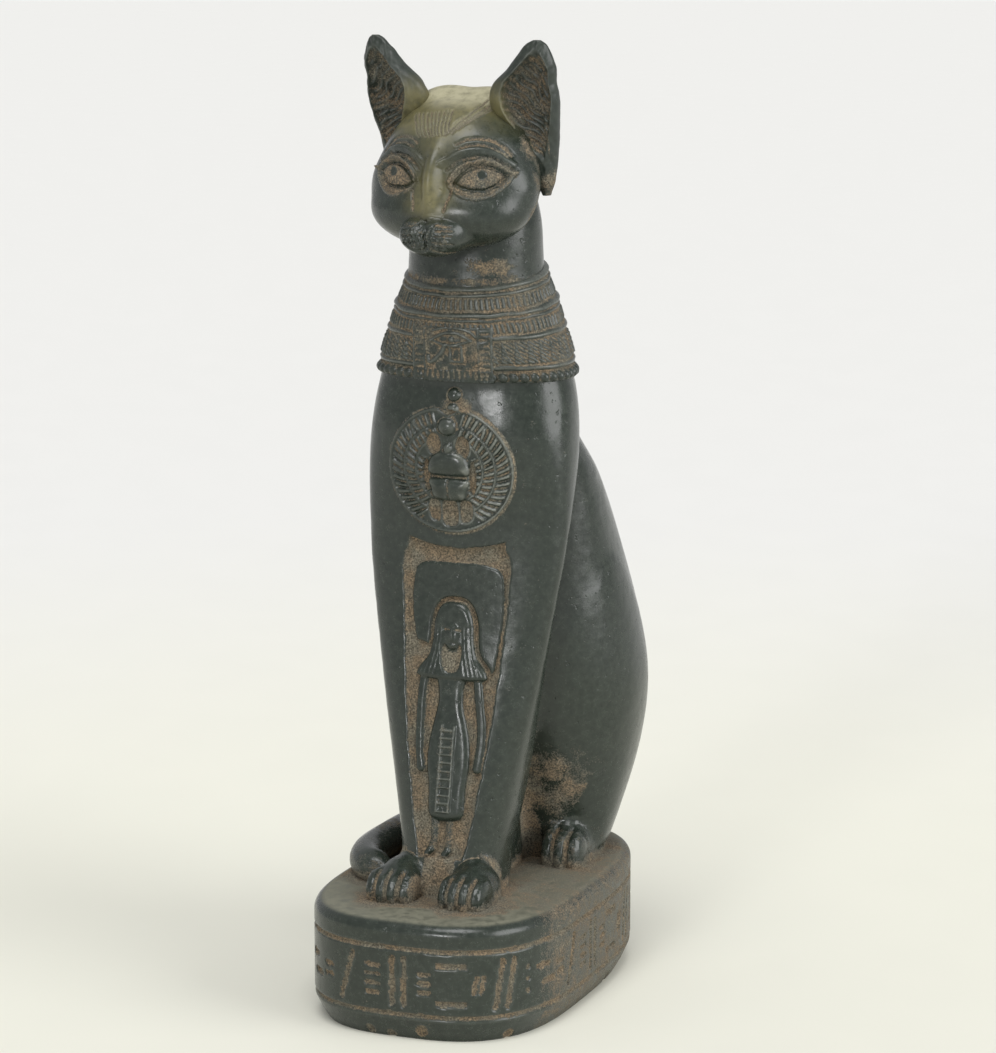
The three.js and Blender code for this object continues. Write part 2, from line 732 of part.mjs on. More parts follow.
const group = new THREE.Group();
group.add(mesh);
export default group;
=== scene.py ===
# %% [markdown]
# A seated cat in the Bastet manner, carved in black stone and standing on an oval plinth.
# The stone is polished by handling, and brown dust lies in everything that is cut into it. The
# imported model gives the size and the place, and this lesson makes the surface that the eye sees.

import math

import bmesh
import bpy
import numpy as np
from mathutils.kdtree import KDTree
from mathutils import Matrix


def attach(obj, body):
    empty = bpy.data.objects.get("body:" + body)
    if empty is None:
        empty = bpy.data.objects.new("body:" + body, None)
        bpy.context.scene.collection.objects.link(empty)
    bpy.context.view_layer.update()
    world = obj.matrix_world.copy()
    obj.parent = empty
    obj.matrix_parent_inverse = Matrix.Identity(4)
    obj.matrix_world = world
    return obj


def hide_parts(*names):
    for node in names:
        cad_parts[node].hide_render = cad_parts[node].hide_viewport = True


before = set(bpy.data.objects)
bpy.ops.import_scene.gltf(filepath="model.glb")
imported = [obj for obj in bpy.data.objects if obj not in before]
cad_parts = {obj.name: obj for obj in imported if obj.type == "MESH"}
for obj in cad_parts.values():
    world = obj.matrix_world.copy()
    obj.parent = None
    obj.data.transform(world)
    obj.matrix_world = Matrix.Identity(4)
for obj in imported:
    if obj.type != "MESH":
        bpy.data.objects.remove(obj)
print("solid nodes in the frame", sorted(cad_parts))
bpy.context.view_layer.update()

# %% [markdown]
# The camera comes first, so that every step can be looked at. It stands 22 degrees round to the
# cat's left and a little above it, a metre away, with a long lens. The lens follows from the
# picture's height: the film's 36 millimetres belong to its longer side.

# %% Camera
IMAGE_HEIGHT = 1053
FOCAL_PIXELS = 3943
CAMERA_AZIMUTH = math.radians(22)
CAMERA_RISE = math.radians(10.8)
CAMERA_AWAY = 1.0
CAMERA_AIM = (0.0084, -0.008, 0.12307)
FILM_LENGTH = 36


def add_camera():
    back = (
        math.sin(CAMERA_AZIMUTH) * math.cos(CAMERA_RISE),
        -math.cos(CAMERA_AZIMUTH) * math.cos(CAMERA_RISE),
        math.sin(CAMERA_RISE),
    )
    place = [aim + CAMERA_AWAY * step for aim, step in zip(CAMERA_AIM, back)]
    turn = (math.pi / 2 - CAMERA_RISE, 0, CAMERA_AZIMUTH)
    bpy.ops.object.camera_add(location=place, rotation=turn)
    camera = bpy.context.object
    camera.data.sensor_width = FILM_LENGTH
    camera.data.lens = FOCAL_PIXELS / IMAGE_HEIGHT * FILM_LENGTH
    camera.data.clip_start = 0.01
    bpy.context.scene.camera = camera
    return camera


camera = add_camera()
print("lens in millimetres", round(camera.data.lens, 1))

# %% [markdown]
# A carver keeps profiles of the figure at a few heights and blends between them. Here a profile
# is a short list of knots, and a smooth curve runs through them. All sizes are in millimetres.
# Heights on the body are counted from the plinth's top, and those on the head from the eyes.

# %% Curves through knots
MM = 0.001


def curve(knots):
    at, value = np.array(knots, float).T
    last = len(at) - 1
    before = np.maximum(np.arange(last + 1) - 1, 0)
    after = np.minimum(np.arange(last + 1) + 1, last)
    slope = (value[after] - value[before]) / (at[after] - at[before])

    def read(place):
        place = np.asarray(place, float)
        i = np.clip(np.searchsorted(at, place) - 1, 0, last - 1)
        span = at[i + 1] - at[i]
        t = np.clip((place - at[i]) / span, 0, 1)
        rise = value[i + 1] - value[i]
        bend = (slope[i] + slope[i + 1]) * span - 2 * rise
        turn = 3 * rise - (2 * slope[i] + slope[i + 1]) * span
        return value[i] + t * (slope[i] * span + t * (turn + t * bend))

    return read


def signed_power(value, power):
    return np.sign(value) * np.abs(value) ** power


def soft(share):
    share = np.clip(share, 0, 1)
    return share * share * (3 - 2 * share)


def domed(share):
    return np.sqrt(1 - (1 - np.clip(share, 0, 1)) ** 2)


def crest(gap, half):
    return np.clip(1 - (gap / half) ** 2, 0, 1)


def run_along(x, y):
    return np.concatenate([[0], np.cumsum(np.hypot(np.diff(x), np.diff(y)))])


# %% [markdown]
# Blender's operators act on whatever is selected, so each step starts from an empty selection.
# A blank is a cylinder one unit across, with its upright edges cut into many levels. Every
# turned or lofted form on the figure starts as such a blank and is then pulled to its profile.

# %% Blanks to shape
def select_only(*objects):
    if bpy.context.object and bpy.context.object.mode != "OBJECT":
        bpy.ops.object.mode_set(mode="OBJECT")
    bpy.ops.object.select_all(action="DESELECT")
    for item in objects:
        item.select_set(True)
        bpy.context.view_layer.objects.active = item


def blank(name, sides, levels):
    select_only()
    bpy.ops.mesh.primitive_cylinder_add(vertices=sides, radius=1, depth=2)
    piece = bpy.context.object
    piece.name = name
    bpy.ops.object.mode_set(mode="EDIT")
    bpy.ops.mesh.select_mode(type="EDGE")
    bpy.ops.mesh.select_all(action="DESELECT")
    mesh = bmesh.from_edit_mesh(piece.data)
    for edge in mesh.edges:
        edge.select_set(abs(edge.verts[0].co.z - edge.verts[1].co.z) > 1)
    bmesh.update_edit_mesh(piece.data)
    bpy.ops.mesh.subdivide(number_cuts=levels - 1)
    bpy.ops.object.mode_set(mode="OBJECT")
    return piece


def read_rows(rows, field, width, kind=np.float32):
    flat = np.empty(len(rows) * width, kind)
    rows.foreach_get(field, flat)
    return flat.reshape(-1, width)


def read_places(piece):
    return read_rows(piece.data.vertices, "co", 3).astype(float)


def write_places(piece, x, y, z):
    places = np.stack([x, y, z], -1) * MM
    piece.data.vertices.foreach_set("co", places.astype(np.float32).ravel())
    piece.data.update()


def blank_angle_and_level(piece):
    x, y, z = read_places(piece).T
    return np.arctan2(x, -y), (z + 1) / 2


def add_attribute(piece, name, values):
    layer = piece.data.attributes.new(name, "FLOAT", "POINT")
    layer.data.foreach_set("value", np.clip(values, 0, 1).astype(np.float32))


def triangle_count(piece):
    return sum(len(face.vertices) - 2 for face in piece.data.polygons)


def smooth_all(piece):
    select_only(piece)
    bpy.ops.object.shade_smooth()


# %% [markdown]
# Carving is drawn flat, as on tracing paper laid over the stone: a place on the skin is two
# numbers, along and up. These helpers tell how far a place is from a drawn line or an outline,
# and from that distance the height of a ridge or the depth of a cut follows.

# %% Drawing on the skin
def near(places, path):
    best = np.full(len(places), 1e9)
    for start, end in zip(path[:-1], path[1:]):
        start, step = np.array(start, float), np.subtract(end, start).astype(float)
        share = np.clip((places - start) @ step / max(step @ step, 1e-9), 0, 1)
        gap = places - start - share[:, None] * step
        best = np.minimum(best, np.hypot(gap[:, 0], gap[:, 1]))
    return best


def inside(places, outline):
    closed = [*outline, outline[0]]
    x, z = places.T
    odd = np.zeros(len(places), bool)
    for (ax, az), (bx, bz) in zip(closed[:-1], closed[1:]):
        if az == bz:
            continue
        odd ^= ((az > z) != (bz > z)) & (x < ax + (z - az) * (bx - ax) / (bz - az))
    gap = near(places, closed)
    return np.where(odd, gap, -gap)


def line(places, path, width):
    return crest(near(places, path), width / 2)


CURVE_CUTS = 5
OVAL_SIDES = 24


def rounded(points, closed=True):
    points = np.array(points, float)
    count = len(points)
    path = []
    for i in range(count if closed else count - 1):
        around = np.arange(i - 1, i + 3)
        a, b, c, d = points[around % count if closed else np.clip(around, 0, count - 1)]
        for t in np.arange(CURVE_CUTS) / CURVE_CUTS:
            path.append(0.5 * (2 * b + (c - a) * t + (2 * a - 5 * b + 4 * c - d) * t**2
                               + (3 * b - a - 3 * c + d) * t**3))
    if not closed:
        path.append(points[-1])
    return [tuple(p) for p in path]


def flowing(points):
    return rounded(points, closed=False)


def oval(cx, cz, half_wide, half_high):
    angles = np.arange(OVAL_SIDES) * 2 * math.pi / OVAL_SIDES
    return [(cx + half_wide * math.sin(a), cz + half_high * math.cos(a)) for a in angles]


# A quiet unevenness, the same on every run: a few crossed waves of about the given length
def waver(places, length, seed):
    rng = np.random.default_rng(seed)
    total = np.zeros(len(places))
    waves = 7
    for _ in range(waves):
        heading = rng.normal(size=places.shape[1])
        heading /= np.linalg.norm(heading)
        stretch = length * rng.uniform(0.7, 1.4)
        total += np.sin(2 * math.pi * (places @ heading) / stretch + rng.uniform(0, 6.28))
    return total / math.sqrt(waves)


# A hand never draws quite straight, so the tracing is shifted a little this way and that
def wobbled(flat, by, length, seed):
    return flat + by * np.stack([waver(flat, length, seed), waver(flat, length, seed + 1)], -1)


# %% [markdown]
# Dust settles where a finger doesn't reach: in every hollow narrower than a fingertip. A smoothed
# copy of the surface stands proud of it in the hollows and below it on the edges, so the gap
# between the two tells where dust stays and where an edge gets a painted glint, a lighter grey
# that stands in for light catching it.

# %% Hollows and edges
def relaxed(piece, values, rounds):
    count = len(values)
    first, second = read_rows(piece.data.edges, "vertices", 2, np.int32).T
    degree = np.bincount(first, minlength=count) + np.bincount(second, minlength=count)
    for _ in range(rounds):
        total = np.empty_like(values)
        for k in range(values.shape[1]):
            total[:, k] = (np.bincount(first, values[second, k], count)
                           + np.bincount(second, values[first, k], count))
        values = values + 0.5 * (total / degree[:, None] - values)
    return values


def read_normals(piece):
    return read_rows(piece.data.vertices, "normal", 3).astype(float)


def hollowness(piece, rounds):
    places = read_places(piece) / MM
    return ((relaxed(piece, places, rounds) - places) * read_normals(piece)).sum(1)


# %% [markdown]
# The plinth is an oval block with a chamfered foot, a flat band between two cut lines, and a
# rounded upper edge. Its blank has as many sides as the finest stroke needs, spread evenly along
# the wall, and the levels of the blank follow the profile up the wall and in over the top.

# %% Plinth sizes
PLINTH_LENGTH, PLINTH_WIDTH, PLINTH_HEIGHT = 108, 67, 30.5
PLINTH_BELLY = -8
PLINTH_SQUARENESS = 2.95
FOOT_INSET, FOOT_HEIGHT, BAND_TOP = 3, 6.9, 23.9
EDGE_RADIUS = 3
GROOVE_WIDTH, GROOVE_DEPTH = 1.3, 0.7
STROKE_WIDTH, STROKE_DEPTH = 1.55, 0.8
STROKE_PITCH, STROKE_MARGIN, STROKE_REACH = 14, 2.6, 9
TOP_ROWS = 24
MARK_WIDTH, MARK_DEPTH = 1.25, 0.6


def plinth_edge(angle, inset):
    along = signed_power(np.cos(angle), 2 / PLINTH_SQUARENESS)
    reach = PLINTH_LENGTH / 2 + np.where(along > 0, PLINTH_BELLY, -PLINTH_BELLY) - inset
    x = (PLINTH_WIDTH / 2 - inset) * signed_power(np.sin(angle), 2 / PLINTH_SQUARENESS)
    return x, PLINTH_BELLY - along * reach


def wall_table():
    angles = np.linspace(-math.pi, math.pi, 4001)
    run = run_along(*plinth_edge(angles, 0))
    return angles, run - run[-1] / 2


WALL_ANGLES, WALL_RUN = wall_table()
WALL_HALF = WALL_RUN[-1]
print("half of the wall's length in millimetres", round(WALL_HALF, 1))

# %% Plinth profile
def plinth_profile(rows):
    turn = np.linspace(0, math.pi / 2, 9)
    rounding = [
        (EDGE_RADIUS * (1 - math.cos(t)), PLINTH_HEIGHT - EDGE_RADIUS * (1 - math.sin(t)))
        for t in turn
    ]
    corners = [(FOOT_INSET, 0), (FOOT_INSET * 0.5, 2.6), (0.2, 5.6), (0, FOOT_HEIGHT), *rounding]
    inset, height = np.array(corners).T
    run = run_along(inset, height)
    at = np.linspace(0, run[-1], rows - TOP_ROWS)
    top = np.full(TOP_ROWS + 1, float(EDGE_RADIUS))
    insets = np.concatenate([np.interp(at, run, inset), top])
    heights = np.concatenate([np.interp(at, run, height), 0 * top + PLINTH_HEIGHT])
    shrinks = np.concatenate([np.ones(len(at)), np.linspace(0.98, 0.02, TOP_ROWS + 1)])
    return insets, heights, shrinks


# The larger strokes are the model's own. The small marks between them are finer than it shows.
def band_strokes():
    low, high = FOOT_HEIGHT + STROKE_MARGIN, BAND_TOP - STROKE_MARGIN
    middle = (low + high) / 2
    patterns = [
        [(-1.6, low, -1.6, high), (1.6, low, 1.6, high)],
        [(-3.2, high - 1, 3.2, high - 1), (-3.2, low + 1, 3.2, low + 1)],
        [(-2.6, low, -0.6, high), (0.8, low, 2.8, high)],
        [(-3.2, middle + 2.2, 0.8, middle + 2.2), (-0.8, middle - 2.2, 3.2, middle - 2.2)],
        [(-2.4, low, 1.2, high)],
    ]
    marks = [
        [(-1.4, middle + 2.4, 1.2, middle + 2.4), (-1.2, middle, 1.4, middle),
         (-1.4, middle - 2.4, 1.2, middle - 2.4)],
        [(-1.3, middle - 2, -0.5, middle + 2), (0.5, middle - 2, 1.3, middle + 2)],
        [(0, middle + 3, 0.3, middle + 3), (0, middle, 0.3, middle), (0, middle - 3, 0.3, middle - 3)],
        [(-1.2, middle + 1.3, 1.4, middle + 1.3), (-1.4, middle - 1.3, 1.2, middle - 1.3)],
        [(-1.5, middle + 3.6, 1.5, middle + 3.6), (-1.5, middle + 1.2, 1.5, middle + 1.2),
         (-1.5, middle - 1.2, 1.5, middle - 1.2), (-1.5, middle - 3.6, 1.5, middle - 3.6)],
    ]
    groups = list(zip(patterns, marks))
    count = int(WALL_HALF // STROKE_PITCH)
    for i in range(-count + 1, count):
        large, small = groups[(i + count) % len(groups)]
        at = i * STROKE_PITCH
        for a, z, b, top in large:
            yield [(at + a, z), (at + b, top)], STROKE_WIDTH, STROKE_DEPTH
        at += STROKE_PITCH / 2
        for a, z, b, top in small:
            yield [(at + a, z), (at + b, top)], MARK_WIDTH, MARK_DEPTH


# %% [markdown]
# The strokes are worn and their edges aren't straight, so the drawing is laid on wobbling paper.
# A cut only moves points of the wall inwards, so the block stays one closed skin and needs no
# boolean. Its mesh has to be fine enough for the rounded floor of a stroke.

# %% Carve the plinth
PLINTH_SIDES, PLINTH_ROWS = 720, 104
CHIP_DEPTH = 0.8
# Each chip's place along the wall, its height and its radius
CHIPS = [(6, 2.6, 2), (-9, 1.4, 1.5), (-3, 0.8, 1.6), (30, 1.2, 1.8), (-52, 1.8, 2.2), (88, 1, 2)]


def make_plinth():
    piece = blank("plinth", PLINTH_SIDES, PLINTH_ROWS)
    turn, level = blank_angle_and_level(piece)
    run = turn / math.pi * WALL_HALF
    angle = np.interp(run, WALL_RUN, WALL_ANGLES)
    row = np.rint(level * PLINTH_ROWS).astype(int)
    inset, height, shrink = (values[row] for values in plinth_profile(PLINTH_ROWS))
    flat = np.stack([run, height], -1)
    wobble = wobbled(flat, 0.12, 3, 1)
    cut = np.zeros(len(run))
    for at in (FOOT_HEIGHT, BAND_TOP):
        cut = np.maximum(cut, GROOVE_DEPTH * crest(wobble[:, 1] - at, GROOVE_WIDTH / 2))
    for path, wide, deep in band_strokes():
        close = np.abs(run - path[0][0]) < STROKE_REACH
        depth = deep * np.sqrt(line(wobble[close], path, wide))
        cut[close] = np.maximum(cut[close], depth)
    for at, up, radius in CHIPS:
        chip = 1 - np.hypot(wobble[:, 0] - at, wobble[:, 1] - up) / radius
        cut = np.maximum(cut, CHIP_DEPTH * soft(chip / 0.5))
    cut *= height < PLINTH_HEIGHT - 0.05
    x, y = plinth_edge(angle, inset + cut)
    write_places(piece, x * shrink, PLINTH_BELLY + (y - PLINTH_BELLY) * shrink, height)
    smooth_all(piece)
    hollow = hollowness(piece, 12)
    caught = soft(hollow / 0.12) * (height < PLINTH_HEIGHT)
    grime = 0.47 * soft((x - 20) / 8) * soft((y + 40) / 12)
    add_attribute(piece, "dust", np.maximum.reduce([1.3 * soft(cut / 0.3), 0.8 * caught, grime]))
    # A painted glint: the plinth's rims are made a little lighter grey, as light catching them would
    # look.
    add_attribute(piece, "painted_glint", 0.15 * soft((-hollow - 0.08) / 0.2))
    add_attribute(piece, "film_and_sheen", soft((height - PLINTH_HEIGHT + 0.6) / 0.6))
    print("plinth", triangle_count(piece), "triangles")
    return piece


plinth = make_plinth()

# %% [markdown]
# The cat's body is three forms leaning on each other: the column of the forelegs, chest and neck,
# the pear of the back and haunches, and a little belly between the legs. Paws, toes and tail are
# added as balls and a tube. A carver would then rub the joints away, and here a voxel remesh and
# a light smoothing do the same.

# %% Body profiles
NECK_MIDDLE = -2
SUNK = 2
EYE_HEIGHT = 184
NECK_TOP = EYE_HEIGHT - 6

COLUMN = {
    "width": curve([(0, 13.4), (10, 13.8), (26, 16.4), (48, 20.4), (71, 24.3), (88, 26.6), (108, 27.5),
                    (124, 26.4), (135, 23.8), (146, 20), (153, 17.8), (160, 17.3), (170, 17),
                    (NECK_TOP, 15.6)]),
    "middle": curve([(0, -15), (26, -13), (48, -12), (71, -9.8), (92, -6.8), (110, -4.6),
                     (130, NECK_MIDDLE), (NECK_TOP, NECK_MIDDLE)]),
    "front": curve([(0, 13.6), (26, 11.6), (48, 9), (71, 7.4), (92, 8.8), (110, 12.5), (117, 14.4),
                    (124, 14.9), (130, 14.6), (138, 15.6), (145, 16.2), (158, 15.2), (NECK_TOP, 13)]),
    "back": curve([(0, 8), (8, 12), (30, 16), (48, 13), (71, 7.2), (90, 9), (100, 13), (112, 19),
                   (130, 20), (147, 17.4), (160, 15), (170, 13.4), (NECK_TOP, 9.6)]),
    "fullness": curve([(0, 2.6), (30, 2.8), (60, 2.5), (110, 2.4), (130, 2.2), (NECK_TOP, 2)]),
}
RUMP_TOP = 130
RUMP = {
    "width": curve([(0, 24), (10, 26.8), (29, 31.7), (46, 34.2), (61, 33.2), (82, 29.8), (103, 25.8),
                    (114, 22), (RUMP_TOP, 17)]),
    "middle": curve([(0, 24), (10, 26), (29, 28), (46, 27), (61, 25), (82, 19), (103, 12.5), (114, 8),
                     (RUMP_TOP, 3)]),
    "front": curve([(0, 9), (8, 13), (18, 18.5), (30, 25), (42, 28.6), (61, 29), (82, 22), (103, 15),
                    (RUMP_TOP, 12)]),
    "back": curve([(0, 20), (10, 23), (29, 25.8), (46, 26.7), (61, 27.8), (82, 28), (103, 24), (114, 20),
                   (RUMP_TOP, 14)]),
    "fullness": curve([(0, 2.3), (RUMP_TOP, 2.2)]),
}
BELLY_TOP = 36
BELLY = {
    "width": curve([(0, 8), (24, 8), (BELLY_TOP, 4)]),
    "middle": curve([(0, 5), (BELLY_TOP, 5)]),
    "front": curve([(0, 14), (BELLY_TOP, 14)]),
    "back": curve([(0, 14), (BELLY_TOP, 14)]),
    "fullness": curve([(0, 2.4), (BELLY_TOP, 2.4)]),
}
HAUNCH = {"y": 18, "z": 38, "long": 20, "high": 44, "rise": 1.15}


def outline(form, z, angle):
    power = 2 / form["fullness"](z)
    along = signed_power(np.cos(angle), power)
    depth = np.where(along > 0, form["front"](z), form["back"](z))
    return form["width"](z) * signed_power(np.sin(angle), power), form["middle"](z) - along * depth


# %% Shape the three forms
def make_form(name, form, top, sides, levels):
    piece = blank(name, sides, levels)
    angle, level = blank_angle_and_level(piece)
    z = (top + SUNK) * level - SUNK
    x, y = outline(form, z, angle)
    if form is RUMP:
        bulge = 1 - ((y - HAUNCH["y"]) / HAUNCH["long"]) ** 2 - ((z - HAUNCH["z"]) / HAUNCH["high"]) ** 2
        x = x + HAUNCH["rise"] * np.sqrt(np.maximum(bulge, 0)) * x / form["width"](z)
    write_places(piece, x, y, z + PLINTH_HEIGHT)
    return piece


# %% [markdown]
# The tail comes round the right haunch and lies along the plinth. Its blank is a tube that is
# bent along a route: at each level the tube's ring is turned square to the way ahead.

# %% Tail
TAIL_RADIUS, TAIL_LIFT = 4.6, 3.4
TAIL_SIDES, TAIL_LEVELS = 40, 90
TAIL_LOOK = 0.005
TAIL_ROUTE = [(4, 44.6), (-11, 43.6), (-21.5, 36), (-27.4, 22), (-28.4, 6), (-27.8, -8), (-23.4, -18),
              (-15.5, -22)]


def make_tail():
    piece = blank("tail", TAIL_SIDES, TAIL_LEVELS)
    angle, level = blank_angle_and_level(piece)
    knots = np.arange(len(TAIL_ROUTE)) / (len(TAIL_ROUTE) - 1)
    route_x = curve([(t, x) for t, (x, _) in zip(knots, TAIL_ROUTE)])
    route_y = curve([(t, y) for t, (_, y) in zip(knots, TAIL_ROUTE)])
    ahead_x, ahead_y = (
        route(level + TAIL_LOOK) - route(level - TAIL_LOOK) for route in (route_x, route_y)
    )
    length = np.maximum(np.hypot(ahead_x, ahead_y), 1e-6)
    taper = TAIL_RADIUS * np.minimum(1, np.sqrt(np.maximum(0.004, 1 - level) * 12))
    sideways = taper * np.cos(angle)
    x = route_x(level) - ahead_y / length * sideways
    y = route_y(level) + ahead_x / length * sideways
    write_places(piece, x, y, PLINTH_HEIGHT + TAIL_LIFT + taper * np.sin(angle))
    return piece


# %% [markdown]
# A paw is a flat ball with a row of smaller balls in front for the toes, the middle ones a little
# ahead. The clefts between the toes are cut later, when the paws have grown into the legs.

# %% Paws and toes
BALL_SIDES, BALL_RINGS = 40, 24
TOE_TILT = 0.12
FRONT_PAW = {"x": 9.8, "y": -27.8, "wide": 6.4, "long": 10.5, "high": 8.6, "toes": 4,
             "toe_long": 5.6, "toe_high": 5.4}
HIND_PAW = {"x": 19, "y": 18.6, "wide": 5.8, "long": 10.6, "high": 10.6, "toes": 3,
            "toe_long": 5.2, "toe_high": 7.4}


def add_ball(centre, radii, tilt=0.0):
    select_only()
    x, y, z = centre
    place = [x * MM, y * MM, (z + PLINTH_HEIGHT) * MM]
    size = [r * MM for r in radii]
    bpy.ops.mesh.primitive_uv_sphere_add(
        segments=BALL_SIDES, ring_count=BALL_RINGS, radius=1,
        location=place, rotation=(tilt, 0, 0), scale=size,
    )
    return bpy.context.object


def make_paw(paw, side):
    middle = side * paw["x"]
    balls = [add_ball((middle, paw["y"], 1), (paw["wide"], paw["long"], paw["high"]))]
    toe_wide = paw["wide"] / paw["toes"]
    for i in range(paw["toes"]):
        across = (i + 0.5) * 2 * toe_wide - paw["wide"]
        set_back = 2.2 * (across / paw["wide"]) ** 2
        centre = (middle + across, paw["y"] - paw["long"] + 3.4 + set_back, 2.2)
        balls.append(add_ball(centre, (toe_wide * 1.1, paw["toe_long"], paw["toe_high"]), TOE_TILT))
    return balls


# %% Join and rub the joints away
def join(name, pieces):
    select_only(*pieces)
    bpy.ops.object.join()
    piece = bpy.context.object
    piece.name = name
    bpy.ops.object.transform_apply(location=True, rotation=True, scale=True)
    return piece


def apply_modifier(piece, kind, **values):
    select_only(piece)
    modifier = piece.modifiers.new(kind.lower(), kind)
    for key, value in values.items():
        setattr(modifier, key, value)
    bpy.ops.object.modifier_apply(modifier=modifier.name)


VOXEL = 1.28


def make_body():
    pieces = [
        make_form("column", COLUMN, NECK_TOP, 120, 96),
        make_form("rump", RUMP, RUMP_TOP, 120, 80),
        make_form("belly", BELLY, BELLY_TOP, 40, 20),
        make_tail(),
    ]
    for side in (-1, 1):
        pieces += make_paw(FRONT_PAW, side) + make_paw(HIND_PAW, side)
    body = join("body", pieces)
    apply_modifier(body, "REMESH", mode="VOXEL", voxel_size=VOXEL * MM, adaptivity=0)
    apply_modifier(body, "SMOOTH", factor=0.5, iterations=3)
    print("body", triangle_count(body), "triangles before its carving")
    return body


body = make_body()

# %% [markdown]
# The breast carries a winged beetle, and between the forelegs a woman stands in a panel that is
# sunk by less than two millimetres. The mesh is made four times finer there, by selecting those
# faces and subdividing them. Each point is then laid back on the column's own skin and raised or
# sunk by the drawing. The paws are made finer too, for the clefts between the toes.

# %% Finer mesh under the carving
DISC_MIDDLE, DISC_ASIDE = 108, -1.2
DISC_HALF_WIDE, DISC_HALF_HIGH = 17.25, 16.5
DISC_EDGE = 1.06
PANEL_LOW, PANEL_HIGH = 9, 88
FINER_CUTS = 3
panel_half = curve([(9, 6.2), (20, 8.4), (45, 12), (70, 14.2), (84, 15), (88, 13.6)])


def breast_y(x, z):
    reach = np.minimum(np.abs(x) / COLUMN["width"](z), 0.98)
    full = COLUMN["fullness"](z)
    return COLUMN["middle"](z) - COLUMN["front"](z) * (1 - reach**full) ** (1 / full)


def disc_reach(x, z):
    return np.hypot((x - DISC_ASIDE) / DISC_HALF_WIDE, (z - DISC_MIDDLE) / DISC_HALF_HIGH)


def faces_to_refine(piece):
    x, y, z = read_rows(piece.data.polygons, "center", 3).astype(float).T / MM
    z = z - PLINTH_HEIGHT
    facing = read_rows(piece.data.polygons, "normal", 3)[:, 1] < -0.3
    on_skin = np.abs(y - breast_y(x, z)) < 1.2
    in_disc = disc_reach(x, z) < 1.05
    in_panel = (z > PANEL_LOW - 2) & (z < PANEL_HIGH + 4) & (np.abs(x) < panel_half(z) + 1.2)
    in_drop = (np.abs(x) < 4) & (z > 121) & (z < 130)
    on_paw = (z > -0.5) & (z < 11) & (y < -25)
    on_hind = (z > -0.5) & (z < 13) & (np.abs(np.abs(x) - HIND_PAW["x"]) < 7) & (np.abs(y - 13) < 7)
    return (facing & on_skin & (in_disc | in_panel | in_drop)) | on_paw | on_hind


def refine(piece, chosen):
    select_only(piece)
    bpy.ops.object.mode_set(mode="EDIT")
    bpy.ops.mesh.select_mode(type="FACE")
    bpy.ops.mesh.select_all(action="DESELECT")
    bpy.ops.object.mode_set(mode="OBJECT")
    piece.data.polygons.foreach_set("select", chosen)
    bpy.ops.object.mode_set(mode="EDIT")
    bpy.ops.mesh.subdivide(number_cuts=FINER_CUTS)
    bpy.ops.object.mode_set(mode="OBJECT")
    print("faces made finer", int(chosen.sum()))


refine(body, faces_to_refine(body))

# %% [markdown]
# The panel's floor has one depth, and each part of the woman is a pad that rises from it with a
# rounded edge. Where pads overlap the higher one is kept, so her hair lies over her shoulders.
# Dust fills the floor and thins out up the sides of a pad. Her face is small and a plain one.

# %% The standing woman in her panel
PANEL_DEPTH = 1.7
RELIEF_RISE = 1.9
WIG = rounded([(0, 74.4), (3.6, 73.4), (5.6, 69.6), (6.2, 64), (7.2, 60.4), (9.8, 57), (9.9, 54.6),
               (5, 54), (-4.6, 54), (-9.4, 54.8), (-9.4, 57), (-6.8, 60.4), (-5.8, 64), (-5.4, 69.6),
               (-3.6, 73.4)])
THROAT = rounded([(-2.5, 63.4), (2.7, 63.4), (2.4, 57.4), (0.2, 56), (-2.2, 57.4)])
DRESS = rounded([(4.2, 56), (4.1, 52), (4.3, 48), (6.4, 40), (6.9, 34), (6.3, 27), (5.3, 19.4),
                 (-3.6, 19.4), (-4.8, 27), (-5.7, 34), (-5.2, 40), (-3.5, 48), (-3.6, 52), (-3.8, 56)])
ARM_LEFT = flowing([(7.6, 55), (8.4, 49), (9.4, 42), (9.2, 36), (8.8, 32.6)])
ARM_RIGHT = flowing([(-7.4, 55), (-7.9, 49), (-7.9, 42), (-7.6, 36), (-7, 32)])
FIELD = rounded([(0, 84.2), (8, 84), (13, 81.6), (13.8, 73), (12.8, 62), (11.2, 56), (8, 58), (-8, 63),
                 (-10.8, 64), (-12.4, 72), (-12, 81.4), (-8, 84)])
LADDER_LOW, LADDER_HIGH, LADDER_STEP = 21.4, 43, 2.05
FACE_ASIDE = 0.1


def panel_inside(x, z):
    upper = PANEL_HIGH + 2.6 * (x / 14) ** 2 - z
    aside = panel_half(np.minimum(z, PANEL_HIGH)) - np.abs(x)
    return np.minimum(np.minimum(aside, upper), z - PANEL_LOW)


